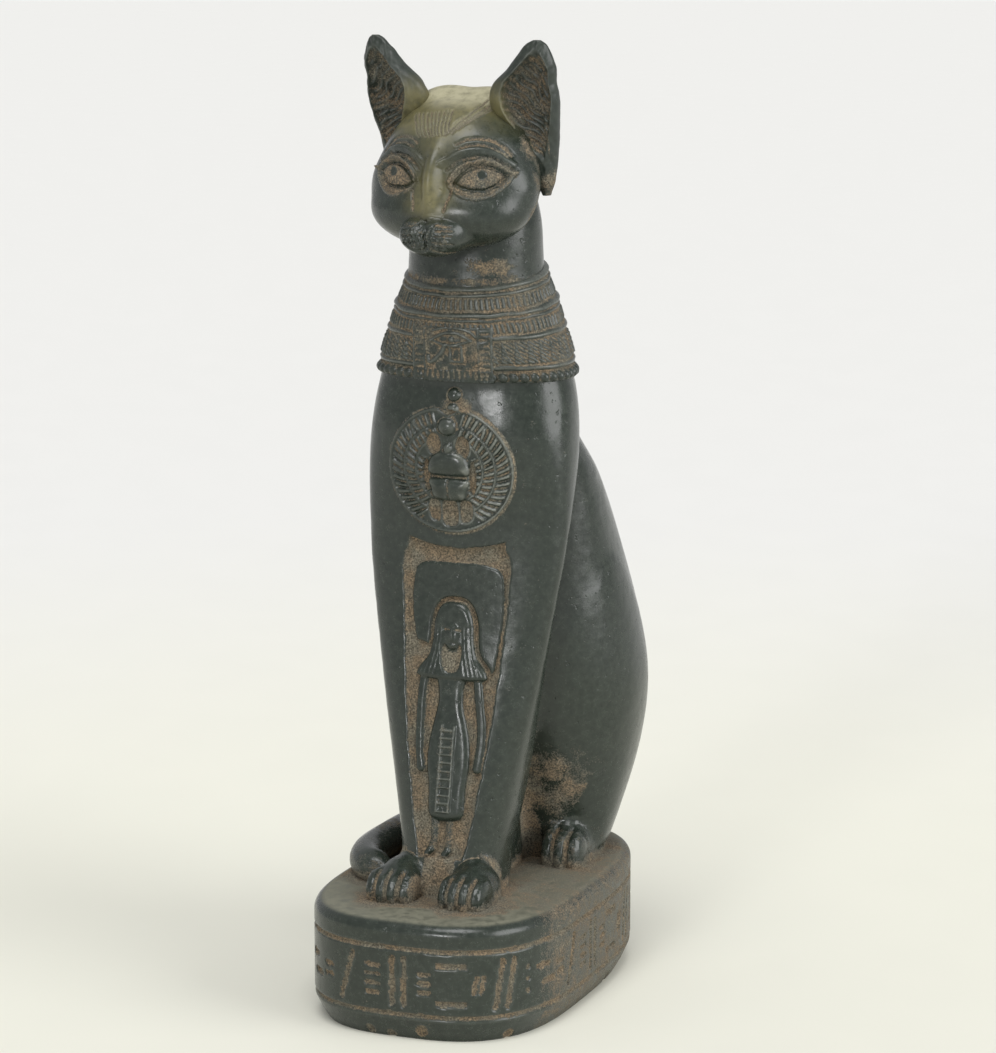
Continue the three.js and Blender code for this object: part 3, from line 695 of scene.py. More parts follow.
def carve_panel(x, z):
    flat = np.stack([x, z], -1)
    uneven = 0.1 * waver(flat, 7, 3) + 0.06 * waver(flat, 2.5, 8)
    edge = panel_inside(x, z) + uneven
    height = -PANEL_DEPTH * soft(edge / 1.1) + 0.08 * waver(flat, 3, 9) * (edge > 1)
    dust = soft(edge / 0.6)

    def raise_pad(depth, rise, edge_width, left=0.0):
        nonlocal height, dust
        pad = -PANEL_DEPTH + rise * domed(depth / edge_width)
        on_pad = (depth > 0) & (pad > height - 0.1)
        height = np.where(on_pad, np.maximum(pad, height), height)
        dust = np.where(on_pad, np.maximum(left, dust * (1 - soft(depth / 0.55))), dust)

    wig = inside(flat, WIG) + 0.3 * uneven
    raise_pad(np.minimum(inside(flat, FIELD) + uneven, -wig - 0.55), 1.15, 1.0)
    for side, low in ((-1, -2.9), (1, 1.9)):
        shin = [(side * 2.2, 20), (side * 2 - 0.1, 14), (low, 11.6)]
        raise_pad(1.35 - near(flat, shin) + 0.5 * uneven, 1.2, 1.2, 0.45)
        raise_pad(1.2 - near(flat, [(low, 11.4), (low - 0.8, 10.4)]), 1.9, 1.2)
    raise_pad(inside(flat, DRESS) + 0.3 * uneven, RELIEF_RISE, 2.4)
    for arm in (ARM_LEFT, ARM_RIGHT):
        raise_pad(1.55 - near(flat, arm) + 0.4 * uneven, RELIEF_RISE * 0.85, 1.2)
    raise_pad(wig, RELIEF_RISE + 0.4, 1.7)
    throat = soft(inside(flat, THROAT) / 0.6)
    return height - 0.8 * throat, np.maximum(dust, throat)


def carve_woman_face(x, z, height, dust):
    flat = np.stack([x, z], -1)
    face = inside(flat, oval(FACE_ASIDE, 65.8, 2.9, 4.1))
    rise = -PANEL_DEPTH + (RELIEF_RISE + 0.9) * domed((face + 0.4) / 3)
    height = np.where(face > -0.3, np.maximum(height, rise), height)
    dust = np.where(face > -0.4, dust * 0.2, dust)
    height = height + 0.45 * line(flat, [(FACE_ASIDE, 67), (FACE_ASIDE, 65)], 1.1)
    for side in (-1, 1):
        eye = [(FACE_ASIDE + side * 0.8, 67.2), (FACE_ASIDE + side * 2, 67.1)]
        height = height - 0.35 * line(flat, eye, 1)
    mouth = line(flat, [(-0.8, 63.9), (1, 63.9)], 0.7)
    return height - 0.3 * mouth, dust


def carve_wig_and_dress(x, z, height, dust):
    flat = np.stack([x, z], -1)
    locks = np.zeros(len(x))
    for aside in (3.6, 4.8, 6, 7.2):
        for side in (-1, 1):
            path = [(side * aside * 0.72, 68), (side * aside * 0.82, 62), (side * (aside + 0.8), 55)]
            locks = np.maximum(locks, line(flat, flowing(path), 0.5))
    in_wig = inside(flat, WIG) > 0.7
    height = height - 0.14 * locks * in_wig
    marks = np.zeros(len(x))
    for foot, top in ((-1.5, -1.3), (1.7, 2.1)):
        marks = np.maximum(marks, line(flat, [(foot, LADDER_LOW), (top, LADDER_HIGH)], 0.55))
    for at in np.arange(LADDER_LOW, LADDER_HIGH, LADDER_STEP):
        marks = np.maximum(marks, line(flat, [(-1.5, at), (1.8, at)], 0.6))
    return height + 0.4 * marks, np.maximum(dust, 0.25 * marks)


# %% [markdown]
# The wings are rows of feathers laid round the disc's middle. They are drawn by turn and distance
# from it, as with a pair of compasses, and swept back a little. The sun and the beetle are lumps
# over them, and the carver's deepest cuts, where the dust lies thickest, go round the lumps.

# %% The winged beetle on the breast
FEATHER_ROWS = [(0.73, 0.93, 7.6, 14, 152), (0.54, 0.7, 9.6, 16, 148), (0.38, 0.51, 13, 62, 142)]


def carve_disc(x, z):
    across = (x - DISC_ASIDE) / DISC_HALF_WIDE
    up = (z - DISC_MIDDLE) / DISC_HALF_HIGH
    notch = 0.12 * np.exp(-((across / 0.14) ** 2)) * (up > 0)
    radius = np.hypot(across, up) + notch
    turn = np.abs(np.degrees(np.arctan2(across, up)))
    height = 0.45 * soft((1 - radius) / 0.05)
    height += 0.4 * crest(radius - 0.965, 0.028)
    dust = 0.8 * crest(radius - 1, 0.035) * (0.35 + 0.65 * (across > -0.1))
    for at in (0.52, 0.71):
        height += 0.3 * crest(radius - at, 0.022) * soft((turn - 24) / 4) * soft((150 - turn) / 4)
    for inner, outer, pitch, first, last in FEATHER_ROWS:
        within = soft((radius - inner) / 0.025) * soft((outer - radius) / 0.025)
        within *= soft((turn - first) / 3) * soft((last - turn) / 3)
        sweep = turn + 34 * (radius - inner) * (turn > 40)
        feather = 0.5 + 0.5 * np.cos(2 * math.pi * sweep / pitch)
        height += within * (0.8 * feather - 0.3)
        dust = np.maximum(dust, within * 0.3 * (1 - feather) ** 2)
    return height, dust


SUN = oval(0, 11.2, 2.7, 2.6)
BEETLE_NECK = oval(0.2, 5.4, 1.5, 1.7)
BEETLE_FORE = rounded([(-3, 4.6), (0, 5.2), (3.2, 4.6), (5.3, 2.4), (4.9, -1.5), (-4.9, -1.5),
                       (-5.3, 2.4)])
BEETLE_WINGS = rounded([(-4.8, -2.1), (4.8, -2.1), (5.2, -5), (3.6, -7.9), (-3.6, -7.9), (-5.2, -5)])
DUSTY_PLACES = [
    oval(-3.8, 6.6, 1.9, 2.9),
    oval(3.9, 6, 1.9, 3),
    oval(-6.1, -1.6, 0.9, 4.2),
    oval(6.3, -1.8, 1.0, 4.4),
    rounded([(-6, -8.2), (-3, -8.4), (-2.9, -13.2), (-5.2, -12.6)]),
    rounded([(-2, -8.4), (1.6, -8.4), (1.8, -14), (-1.8, -14)]),
    rounded([(2.6, -8.4), (5.6, -8.2), (5.8, -12.4), (3, -13.4)]),
]


def carve_beetle(x, z, height, dust):
    flat = np.stack([x - DISC_ASIDE, z - DISC_MIDDLE], -1)
    for place in DUSTY_PLACES:
        sunk = soft((inside(flat, place) + 0.15) / 0.5)
        height = height * (1 - sunk) - 0.35 * sunk
        dust = np.maximum(dust * (1 - sunk), sunk)
    lumps = [(SUN, 2.1, 2.5), (BEETLE_NECK, 2.0, 1.6), (BEETLE_FORE, 2.3, 2.9), (BEETLE_WINGS, 2.4, 2.9)]
    for shape, rise, edge_width in lumps:
        depth = inside(flat, shape)
        lump = -0.25 + rise * domed(depth / edge_width)
        on_lump = (depth > 0) & (lump > height)
        height = np.where(on_lump, lump, height)
        dust = np.where(on_lump, dust * (1 - soft(depth / 0.4)), dust)
    seam = line(flat, [(0, -2.4), (0, -7.6)], 0.7)
    waist = line(flat, [(-4.6, -1.8), (4.6, -1.8)], 0.8)
    return height - 0.3 * seam, np.maximum(dust, np.maximum(0.4 * seam, 0.8 * waist))


# %% Carve the breast
CLEFT_HALF, CLEFT_DEPTH = 0.75, 0.8
DROPS = [(127.2, 1.8), (123.8, 1.7)]


def carve_toes(x, y, z, normals):
    cut = np.zeros(len(x))
    for paw in (FRONT_PAW, HIND_PAW):
        toe_wide = paw["wide"] / paw["toes"]
        front = paw["y"] - paw["long"] * 0.45
        reach = soft((front - y) / 2) * (y > paw["y"] - paw["long"] - 6) * soft((paw["high"] - z) / 2)
        for side in (-1, 1):
            for gap in range(1, paw["toes"]):
                across = side * paw["x"] + gap * 2 * toe_wide - paw["wide"]
                cut = np.maximum(cut, crest(x - across, CLEFT_HALF) * reach * (normals[:, 1] < 0.3))
    return cut


def carve_drops(x, z, height, dust):
    around = soft(1.6 - np.hypot((x - 1) / 3.6, (z - 124) / 2.4))
    dust = np.maximum(dust, 0.8 * around)
    for at, radius in DROPS:
        depth = radius - np.hypot(x - 0.3, z - at)
        height = np.maximum(height, 1.6 * domed(depth / radius) * (depth > 0))
        dust = dust * (1 - soft((depth + 0.1) / 0.4))
    return height, dust


def carve_breast(piece):
    x, y, z = read_places(piece).T / MM
    z = z - PLINTH_HEIGHT
    normals = read_normals(piece)
    skin = breast_y(x, z)
    hold = soft((0.92 - np.abs(x) / COLUMN["width"](z)) / 0.12)
    hold *= soft((z - 7) / 3) * soft((130.5 - z) / 2) * soft((1.1 - np.abs(y - skin)) / 0.3)
    hold *= normals[:, 1] < -0.2
    height, dust = carve_panel(x, z)
    height, dust = carve_woman_face(x, z, height, dust)
    height, dust = carve_wig_and_dress(x, z, height, dust)
    in_panel = panel_inside(x, z) > -0.5
    height, dust = np.where(in_panel, height, 0), np.where(in_panel, dust, 0)
    disc_height, disc_dust = carve_disc(x, z)
    disc_height, disc_dust = carve_beetle(x, z, disc_height, disc_dust)
    reach = disc_reach(x, z)
    height = np.where(reach < DISC_EDGE, disc_height, height)
    dust = np.where(reach < DISC_EDGE, disc_dust, dust)
    in_drop = (np.abs(x) < 6) & (z > 121) & (z < 131) & (reach > 0.94)
    drop_height, drop_dust = carve_drops(x, z, height, dust)
    height, dust = np.where(in_drop, drop_height, height), np.where(in_drop, drop_dust, dust)
    lean = x / COLUMN["width"](z) * 0.8
    new_x = x + height * lean
    new_y = skin - height * np.sqrt(1 - np.clip(lean, -1, 1) ** 2)
    toes = carve_toes(x, y, z, normals)
    new_x, new_y = x + hold * (new_x - x), y + hold * (new_y - y)
    sunk = CLEFT_DEPTH * toes[:, None] * normals
    write_places(piece, new_x - sunk[:, 0], new_y - sunk[:, 1], z + PLINTH_HEIGHT - sunk[:, 2])
    return np.maximum(dust * hold, 0.9 * toes), (reach < 1) & (hold > 0)


# Besides the carving, dust lies round the feet, between the paws, in front of the hind paws,
# above the collar, and in the creases low down
def finish_body(piece):
    painted, on_disc = carve_breast(piece)
    smooth_all(piece)
    x, y, z = read_places(piece).T / MM
    places = np.stack([x, y, z], -1)
    z = z - PLINTH_HEIGHT
    patchy = 0.55 + 0.3 * waver(places, 9, 4) + 0.2 * waver(places, 3, 6)
    foot = 0.8 * soft((3.5 - z) / 3.5) + 0.3 * soft((12 - z) / 10) * (y > -30)
    streaks = waver(places * (1, 1, 4), 7, 7)
    neck = 0.66 * soft(1.5 - np.hypot((x - 8.4) / 5, (z - 159) / 2.2) + 0.7 * streaks) * (y < -8)
    collar_edge = 0.7 * soft((z - 154) / 1.5) * soft((158 - z) / 2.5)
    between_paws = soft((4.8 - np.abs(x)) / 1.4) * soft((11 - z) / 1.5) * (y < -14)
    by_hind_paw = 0.65 * soft(1.6 - np.hypot((y - 5) / 8, (z - 19) / 11)) * (np.abs(x) > 11) * (y < 14)
    laid = np.maximum.reduce([foot, neck, collar_edge, by_hind_paw]) * (0.35 + patchy)
    laid = np.maximum(laid, between_paws)
    hollow = hollowness(piece, 14)
    carved = np.maximum(soft((-14 - y) / 3), soft((34 - z) / 14))
    caught = soft((hollow - 0.02) / 0.3) * (0.5 + patchy) * (0.2 + 0.8 * carved)
    creased = soft((hollowness(piece, 60) - 0.25) / 1.2) * (0.3 + patchy) * soft((48 - z) / 24)
    add_attribute(piece, "dust", np.maximum.reduce([painted, laid, caught, creased]))
    on_ladder = (np.abs(x - 0.2) < 2.6) & (z > LADDER_LOW - 1) & (z < LADDER_HIGH + 1) & (y < -10)
    # A painted glint: convex edges are made lighter grey where light would catch them; on the disc's
    # feathers more so towards the cat's left, where the highlights fall, and on the ladder's lines as
    # thin bright highlights.
    edge = soft((-hollow - 0.05) / 0.15)
    painted_glint = 0.15 * soft((-hollow - 0.7) / 0.5)
    painted_glint = np.where(on_disc, edge * (0.2 + 0.5 * soft((x + 3) / 9)), painted_glint)
    painted_glint = np.where(on_ladder, 0.6 * edge, painted_glint)
    add_attribute(piece, "painted_glint", painted_glint * (1 - painted))
    print("body", triangle_count(piece), "triangles")


finish_body(body)

# %% [markdown]
# A duster goes over the plinth's top and leaves a ring of dust round all that stands on it. The
# body's lowest points go into a search tree, which tells how near a place on the top is to them.

# %% Dust round the feet
def dust_round_feet(piece, standing):
    places = read_places(standing) / MM
    low = places[np.abs(places[:, 2] - PLINTH_HEIGHT - 0.8) < 0.6]
    tree = KDTree(len(low))
    for i, (x, y, _) in enumerate(low):
        tree.insert((x, y, 0), i)
    tree.balance()
    x, y, z = read_places(piece).T / MM
    on_top = z > PLINTH_HEIGHT - 0.1
    gap = np.array([tree.find((a, b, 0))[2] for a, b in zip(x[on_top], y[on_top])])
    layer = piece.data.attributes["dust"].data
    dust = read_rows(layer, "value", 1)[:, 0].astype(float)
    flat = np.stack([x, y], -1)[on_top]
    reach = 6.5 + 2.5 * waver(flat, 14, 41)
    laid = soft(1.15 - gap / reach) * (0.85 + 0.2 * waver(flat, 5, 42))
    dust[on_top] = np.maximum(dust[on_top], np.clip(laid, 0, 1))
    layer.foreach_set("value", dust.astype(np.float32))
    print("plinth points that dust lies on", int((laid > 0.5).sum()))


dust_round_feet(plinth, body)

# %% [markdown]
# The broad collar is a band of its own, laid over the column from shoulder to neck. Ridges part it
# into rows, and the rows are hatched, or cut with drops. A plate with an eye hangs in front and a
# row of beads closes the lower edge. It starts as a blank with fine sides and levels.

# %% Collar sizes
COLLAR_LOW, COLLAR_MIDDLE, COLLAR_HIGH, COLLAR_LEAN = 130.4, 140, 154.4, 0.17
COLLAR_RISE = 1.1
COLLAR_SIDES, COLLAR_LEVELS = 620, 140
BEAD_PITCH, BEAD_HEIGHT, BEAD_RADIUS, BEAD_TOP = 2.45, 132, 1.2, 133.6
PLATE_HALF, PLATE_TOP = 10, 145
# Each ridge's height, its width and how far it rises
RIDGES = [(154.2, 0.9, 0.4), (152.7, 0.9, 0.45), (147.8, 1.3, 0.65), (146.5, 0.7, 0.3), (142, 1.1, 0.5),
          (134.5, 0.8, 0.3)]


def collar_rows(s, z):
    flat = np.stack([s, z], -1)
    z = z + 0.12 * waver(flat, 9, 11)
    s = s + 0.1 * waver(flat, 5, 12)
    height = np.zeros(len(s))
    for at, wide, rise in RIDGES:
        height = np.maximum(height, rise * crest(z - at, wide / 2 + 0.15))
    for low, high, pitch in ((148.9, 152, 1.5), (143, 145.8, 1.35)):
        row = soft((z - low) / 0.4) * soft((high - z) / 0.4)
        height += row * 0.38 * (0.5 + 0.5 * np.cos(2 * math.pi * s / pitch))
    drop = np.abs(((s / 3.1) % 1) - 0.5) * 2
    row = soft((z - 135.2) / 0.5) * soft((141 - z) / 0.5)
    height += row * 0.4 * soft((drop - (z - 135) / 7) / 0.25)
    height += row * 0.12 * np.cos(2 * math.pi * (s * 0.7 + z) / 1.1)
    return height


def collar_beads(s, z):
    aside = ((s / BEAD_PITCH) % 1 - 0.5) * BEAD_PITCH
    return 1.15 * np.sqrt(crest(np.hypot(aside, z - BEAD_HEIGHT), BEAD_RADIUS))


# The eye on the plate: its upper and lower lid, its brow and its curl, each with a width
PLATE_EYE = [
    ([(-4.6, 141.4), (-1.6, 143.2), (1.8, 143.3), (5, 141.6)], 0.9),
    ([(-4.6, 141.4), (-1.6, 140.4), (1.8, 140.5), (5, 141.6)], 0.8),
    ([(-4.2, 143.8), (0, 145), (4.4, 144), (6, 142.6)], 0.8),
    ([(-1.2, 140), (-2.6, 137.6), (-5, 135.6), (-5.6, 137)], 1.4),
]


def collar_plate(x, z):
    flat = np.stack([x, z], -1)
    height = 0.5 + 0.08 * waver(flat, 2.5, 13)
    for side in (-1, 1):
        for aside in (9.5, 6.6):
            height += 0.25 * line(flat, [(side * aside, 131), (side * aside, 145)], 0.7)
    rung = np.abs(((z / 1.5) % 1) - 0.5) * 2
    height += 0.22 * (np.abs(np.abs(x) - 8) < 1.1) * rung
    height += 0.3 * (z < BEAD_TOP) * np.abs(((x / 1.3) % 1) - 0.5) * 2
    for path, wide in PLATE_EYE:
        height += 0.5 * line(flat, flowing(path), wide)
    leg = np.minimum(1.4 - np.abs(x - 1.4), 2 - np.abs(z - 138))
    height += 0.55 * soft((leg + 0.5) / 0.5) - 0.4 * soft(leg / 0.5)
    return height + 0.5 * crest(np.hypot(x - 0.4, z - 141.8), 0.9)


# %% Lay the collar on the shoulders
def make_collar():
    piece = blank("collar", COLLAR_SIDES, COLLAR_LEVELS)
    angle, level = blank_angle_and_level(piece)
    z = COLLAR_LOW + (COLLAR_HIGH + 0.6 - COLLAR_LOW) * level
    x, y = outline(COLUMN, z, angle)
    around = np.linspace(-math.pi, math.pi, 2001)
    run = run_along(*outline(COLUMN, COLLAR_MIDDLE, around))
    s = np.interp(angle, around, run - run[-1] / 2)
    bed = COLLAR_RISE - 0.75 * soft((z - 146) / 8)
    rise = bed + 1.25 * collar_rows(s, z)
    on_plate = (np.abs(x) < PLATE_HALF) & (y < 0) & (z < PLATE_TOP)
    beads = np.maximum(COLLAR_RISE - 0.6, COLLAR_RISE + collar_beads(s, z) - 0.5)
    rise = np.where(z < BEAD_TOP, beads, rise)
    rise = np.where(on_plate, COLLAR_RISE + collar_plate(x, z), rise)
    ends = np.minimum(level, 1 - level)
    rise = np.where(ends < 0.5 / COLLAR_LEVELS, -1.0, rise)
    from_middle = y - COLUMN["middle"](z)
    grow = 1 + rise / np.hypot(x, from_middle)
    x, y = x * grow, COLUMN["middle"](z) + from_middle * grow
    lift = COLLAR_LEAN * (z - COLLAR_LOW) / (COLLAR_HIGH - COLLAR_LOW)
    z = z + lift * (y + COLUMN["front"](z))
    write_places(piece, x, y, z + PLINTH_HEIGHT)
    smooth_all(piece)
    hollow = hollowness(piece, 18)
    grime = 0.26 + 0.14 * waver(np.stack([s, z], -1), 12, 14)
    add_attribute(piece, "dust", grime + 0.6 * soft(hollow / 0.12) - 0.2 * soft(-hollow / 0.12))
    # A painted glint: the ridges of the collar are made lighter grey where light would catch them.
    add_attribute(piece, "painted_glint", 0.3 * soft((-hollow - 0.04) / 0.15) * (level > 0.14))
    print("collar", triangle_count(piece), "triangles")
    return piece


collar = make_collar()

# %% [markdown]
# The head is drawn from one inner point, as a balloon pressed out by a few eggs: skull, brow,
# cheeks, muzzle and nose. It starts as a ball with its pole on the muzzle, and the ball's points
# are drawn towards that pole, because the finest carving is there. The whole head turns a little
# towards the cat's right about the neck.

# %% Head forms
HEAD_TURN = -0.095
HEAD_CENTRE = np.array([0, -14, -7.0])
HEAD_BLEND = 14
HEAD_EGGS = [
    ((0, -8, -0.4), (20.4, 19, 17.9)),
    ((0, -5, 9.6), (17.6, 8, 8.6)),
    ((-7, -5, 9.2), (8.4, 8, 8.8)),
    ((7, -5, 9.2), (8.4, 8, 8.8)),
    ((0, -13.4, -5.4), (22.4, 13, 14.4)),
    ((0, -17, -10.6), (20.2, 12.6, 9.4)),
    ((-1.7, -26, -15.4), (5.3, 8.6, 4.8)),
    ((3.9, -25.6, -15.4), (5.6, 8.4, 4.8)),
    ((0.8, -23, -17), (4.6, 9, 4)),
    ((1.2, -18.4, -4), (3.9, 12.2, 12)),
]


def head_reach(ahead):
    total = np.zeros(len(ahead))
    for centre, radii in HEAD_EGGS:
        start = (HEAD_CENTRE - centre) / radii
        along = ahead / radii
        half = along @ start
        square = (along * along).sum(1)
        inside_egg = half * half - square * (start @ start - 1)
        reach = (-half + np.sqrt(np.maximum(inside_egg, 0))) / square
        total += np.where(inside_egg > 0, np.maximum(reach, 0), 0) ** HEAD_BLEND
    return total ** (1 / HEAD_BLEND)


def turn_head(x, y):
    y = y - NECK_MIDDLE
    c, s = math.cos(HEAD_TURN), math.sin(HEAD_TURN)
    return x * c - y * s, x * s + y * c + NECK_MIDDLE


# %% [markdown]
# Eyes, brows, whiskers and mouth are cut as lines, drawn on paper held in front of the face. An
# eye's lines are drawn once, for the cat's left side, and mirrored about the face's middle, which
# the carver set a little off the head's. What is cut keeps its dust, but a rubbed rim has hardly
# any.

# %% Face carving
FACE_MIDDLE = 1.0
LID_UPPER = [(4.4, -2.4), (5.6, -0.2), (7.5, 1.6), (9.9, 2.5), (12.1, 2.8), (14.4, 2.1), (16.2, 0.8),
             (17.4, 0), (18.4, -0.4)]
LID_LOWER = [(4.4, -2.4), (5.2, -3.8), (8.1, -5.6), (11.7, -6.1), (15, -5), (17, -3), (18.4, -0.4)]
OPEN_UPPER = [(5.8, -2.6), (8.1, 0.2), (10.9, 1.5), (13.6, 1.4), (15.9, 0.3), (17.3, -1)]
OPEN_LOWER = [(5.8, -2.6), (7.8, -3.8), (11.3, -4.3), (14.6, -3.7), (17.3, -1)]
BROW_LINES = [
    [(5.3, 6.8), (7.6, 7.9), (10.3, 8.1), (13, 7.5), (15.2, 5.9), (17.1, 3.8)],
    [(6.3, 5.7), (8.8, 6.7), (11.5, 6.5), (14.2, 5.4), (16.5, 3.5)],
]
BROW_RIDGE = [(2.6, 2), (5.3, 4.1), (7.6, 5), (10.4, 5.3), (13.1, 4.8), (15.3, 3.5), (17.6, 1.5)]
SOCKET_LINE = [(3.9, 0.6), (6.4, 2.7), (8.8, 3.6), (11.5, 3.9), (14.2, 3.2), (16.4, 1.7), (18.3, 0.4)]
TEAR = [(5.4, -4.4), (4.9, -6.5), (4.2, -9.4)]
PUPIL, PUPIL_RADIUS = (12.1, -0.5), 1.35
# Each cut line's width and depth, and how much dust is left in it
FACE_CUTS = [(SOCKET_LINE, 1.1, 0.6, 0.55), (BROW_LINES[0], 0.95, 0.55, 0.85),
             (BROW_LINES[1], 0.85, 0.5, 0.75), (TEAR, 1, 0.4, 1)]


def on_face(side, path):
    return [(FACE_MIDDLE + side * a, b) for a, b in path]


def carve_eye(flat, height, dust, side):
    upper, lower, rim_upper, rim_lower, socket = (
        flowing(on_face(side, path))
        for path in (LID_UPPER, LID_LOWER, OPEN_UPPER, OPEN_LOWER, SOCKET_LINE)
    )
    in_lids = inside(flat, upper + lower[::-1])
    in_opening = inside(flat, rim_upper + rim_lower[::-1])
    in_socket = inside(flat, socket + upper[::-1])
    height = height - 0.5 * soft((in_lids + 0.6) / 1.2)
    height = height + 0.9 * line(flat, upper, 1.2) + 0.7 * line(flat, lower, 1.3)
    height = height + 0.55 * domed(in_opening / 2.6) * (in_opening > 0)
    below = flat[:, 1] < -2
    dust = np.maximum(dust, 0.6 * soft((in_lids + 0.7 + 0.8 * below) / (1 + 1.2 * below)))
    dust = np.maximum(dust, 0.28 * soft((in_socket + 0.3) / 0.6))
    dust = np.maximum(dust, 0.75 * line(flat, upper, 0.8))
    for rim, deep, bare in ((rim_upper, 0.7, 1), (rim_lower, 0.5, 0.85)):
        cut = line(flat, rim, 1.15)
        height = height - deep * cut
        dust = dust * (1 - bare * cut)
    pupil = soft((PUPIL_RADIUS - near(flat, on_face(side, [PUPIL, PUPIL]))) / 0.5)
    return height - 0.2 * pupil, dust * (1 - 0.95 * pupil)


def carve_face(x, z):
    flat = wobbled(np.stack([x, z], -1), 0.08, 3, 21)
    height = np.zeros(len(x))
    dust = np.zeros(len(x))
    for side in (-1, 1):
        height, dust = carve_eye(flat, height, dust, side)
        ridge = line(flat, flowing(on_face(side, BROW_RIDGE)), 1.8)
        height += 0.6 * ridge
        dust *= 1 - ridge
        for path, wide, deep, left in FACE_CUTS:
            cut = line(flat, flowing(on_face(side, path)), wide)
            height -= deep * cut
            dust = np.maximum(dust, left * cut)
    return height, dust


FAN_STROKES = 10
FAN_FEET = [(-4.3, 8.2), (-2.7, 8.3), (-1.2, 8.4), (0.1, 8.6), (1.3, 8.8), (2.5, 9.1), (3.6, 9.6)]
FAN_TOPS = [(-8.8, 13.3), (-6.8, 13.5), (-4.6, 13.8), (-2.6, 13.9), (-1.1, 14.1), (0.7, 14.3),
            (2.3, 14.4)]
LONG_LINES = [
    [(2.9, 9.1), (6.1, 13.2), (8.8, 18)],
    [(4.4, 9.6), (7.6, 13.4), (10.6, 17.6)],
    [(5.8, 10.4), (9, 13.8), (12.4, 17)],
]


def carve_brow_fan(x, z, height, dust):
    flat = wobbled(np.stack([x, z], -1), 0.1, 4, 23)
    around = rounded([FAN_FEET[0], FAN_FEET[3], FAN_FEET[-1], *FAN_TOPS[::-2]])
    dust = np.maximum(dust, 0.12 * soft((inside(flat, around) + 1.2) / 2))
    drawn = np.array([FAN_FEET, FAN_TOPS])
    strokes = []
    for i in np.linspace(0, len(FAN_FEET) - 1, FAN_STROKES):
        low = min(int(i), len(FAN_FEET) - 2)
        strokes.append((drawn[:, low] * (1 + low - i) + drawn[:, low + 1] * (i - low), 0.62))
    strokes += [(flowing(path), 1) for path in LONG_LINES]
    cut = np.zeros(len(x))
    for path, wide in strokes:
        cut = np.maximum(cut, line(flat, path, wide))
    return height - 0.55 * cut, np.maximum(dust, 0.72 * cut), cut


MUZZLE_MIDDLE = 2.2
WHISKER_PADS = rounded([(-6.4, -12.6), (-1, -11.4), (5, -12.6), (6.4, -16), (3, -19), (-2, -19),
                        (-6, -17)])
NOSE = rounded([(-2.9, -10.4), (2.9, -10.4), (1.6, -13.2), (-1.2, -13.2)])
WHISKERS = [[(2.2, -12.5), (5.7, -13.2)], [(3, -14), (6.1, -14)], [(3, -15.3), (6, -15.3)],
            [(2.3, -16.7), (5.8, -17.4)]]
MOUTH = [[(0.6, -18.2), (2.1, -19.1), (3.8, -20), (6.4, -19.8), (9, -18.8)],
         [(0.6, -18.2), (-1, -19), (-3.4, -18.8), (-5.6, -17.2)]]


def carve_muzzle(x, z, height, dust):
    flat = np.stack([x - MUZZLE_MIDDLE, z], -1)
    pads = soft((inside(flat, WHISKER_PADS) + 1) / 2)
    height = height + pads * (0.16 * waver(flat, 1.6, 25) + 0.12 * waver(flat, 0.9, 26))
    dust = dust * (1 - pads) + 0.3 * pads * soft(0.5 + 0.7 * waver(flat, 1.4, 27))
    for path in WHISKERS:
        for side in (-1, 1):
            cut = line(flat, [(side * a, b) for a, b in path], 0.8)
            height = height - 0.4 * cut
            dust = np.maximum(dust, (0.6 if side > 0 else 0.3) * cut)
    for path, left in zip(MOUTH, (0.7, 0.3)):
        cut = line(flat, flowing(path), 1)
        height = height - 0.55 * cut
        dust = np.maximum(dust, left * cut)
    height = height - 0.6 * line(flat, [(0.1, -13), (0.5, -18)], 1)
    nose = inside(flat, NOSE)
    height = height + 0.9 * domed(nose / 1.6) * (nose > 0)
    return height, dust * (1 - soft((nose + 0.5) / 0.6))


# %% Shape the head
HEAD_SEGMENTS, HEAD_RINGS = 400, 236
POLE_TILT = math.atan2(24, -7)
POLE_PULL = 0.4


def head_directions(piece):
    ball = read_places(piece)
    for pull in (0, POLE_PULL):
        ball += (0, 0, pull)
        ball /= np.linalg.norm(ball, axis=1)[:, None]
    x, y, z = ball.T
    c, s = math.cos(POLE_TILT), math.sin(POLE_TILT)
    return np.stack([x, y * c - z * s, y * s + z * c], -1)


def paint_head(piece, skin, carved, fan):
    x, y, z = skin.T
    patchy = 0.6 + 0.35 * waver(skin, 6, 28)
    by_ear = np.exp(-(((y + 11) / 2.6) ** 2)) * soft((np.abs(x) - 15) / 3)
    by_ear *= soft((10 - z) / 4) * (z > -16)
    hollow = hollowness(piece, 14)
    caught = 0.6 * soft(hollow / 0.35) * (z > -8)
    add_attribute(piece, "dust", np.maximum.reduce([carved, caught, 0.8 * by_ear * patchy]))
    bridge = np.exp(-(((x - 1) / 5.5) ** 2)) * soft((z + 13) / 5) * soft((-y - 16) / 4)
    bridge *= 1 - 0.6 * np.exp(-(((z - 3.5) / 4.5) ** 2))
    brow = 0.9 * soft((z - 6) / 5) * (1 - 0.75 * soft((x - 5) / 6) * soft((16 - z) / 5))
    add_attribute(piece, "olive", np.maximum(bridge, brow))
    # The pale film on the skull's top is partly dust and partly a painted sheen: the top faces the light
    # from above and is made paler.
    film_and_sheen = soft((z - 14) / 3.5) * soft((24 - np.abs(x)) / 8)
    add_attribute(piece, "film_and_sheen", np.maximum(film_and_sheen, 0.55 * fan))
    # A painted glint on the head's ridges and edges, a lighter grey for light catching them.
    add_attribute(piece, "painted_glint", 0.22 * soft((-hollow - 0.06) / 0.2))


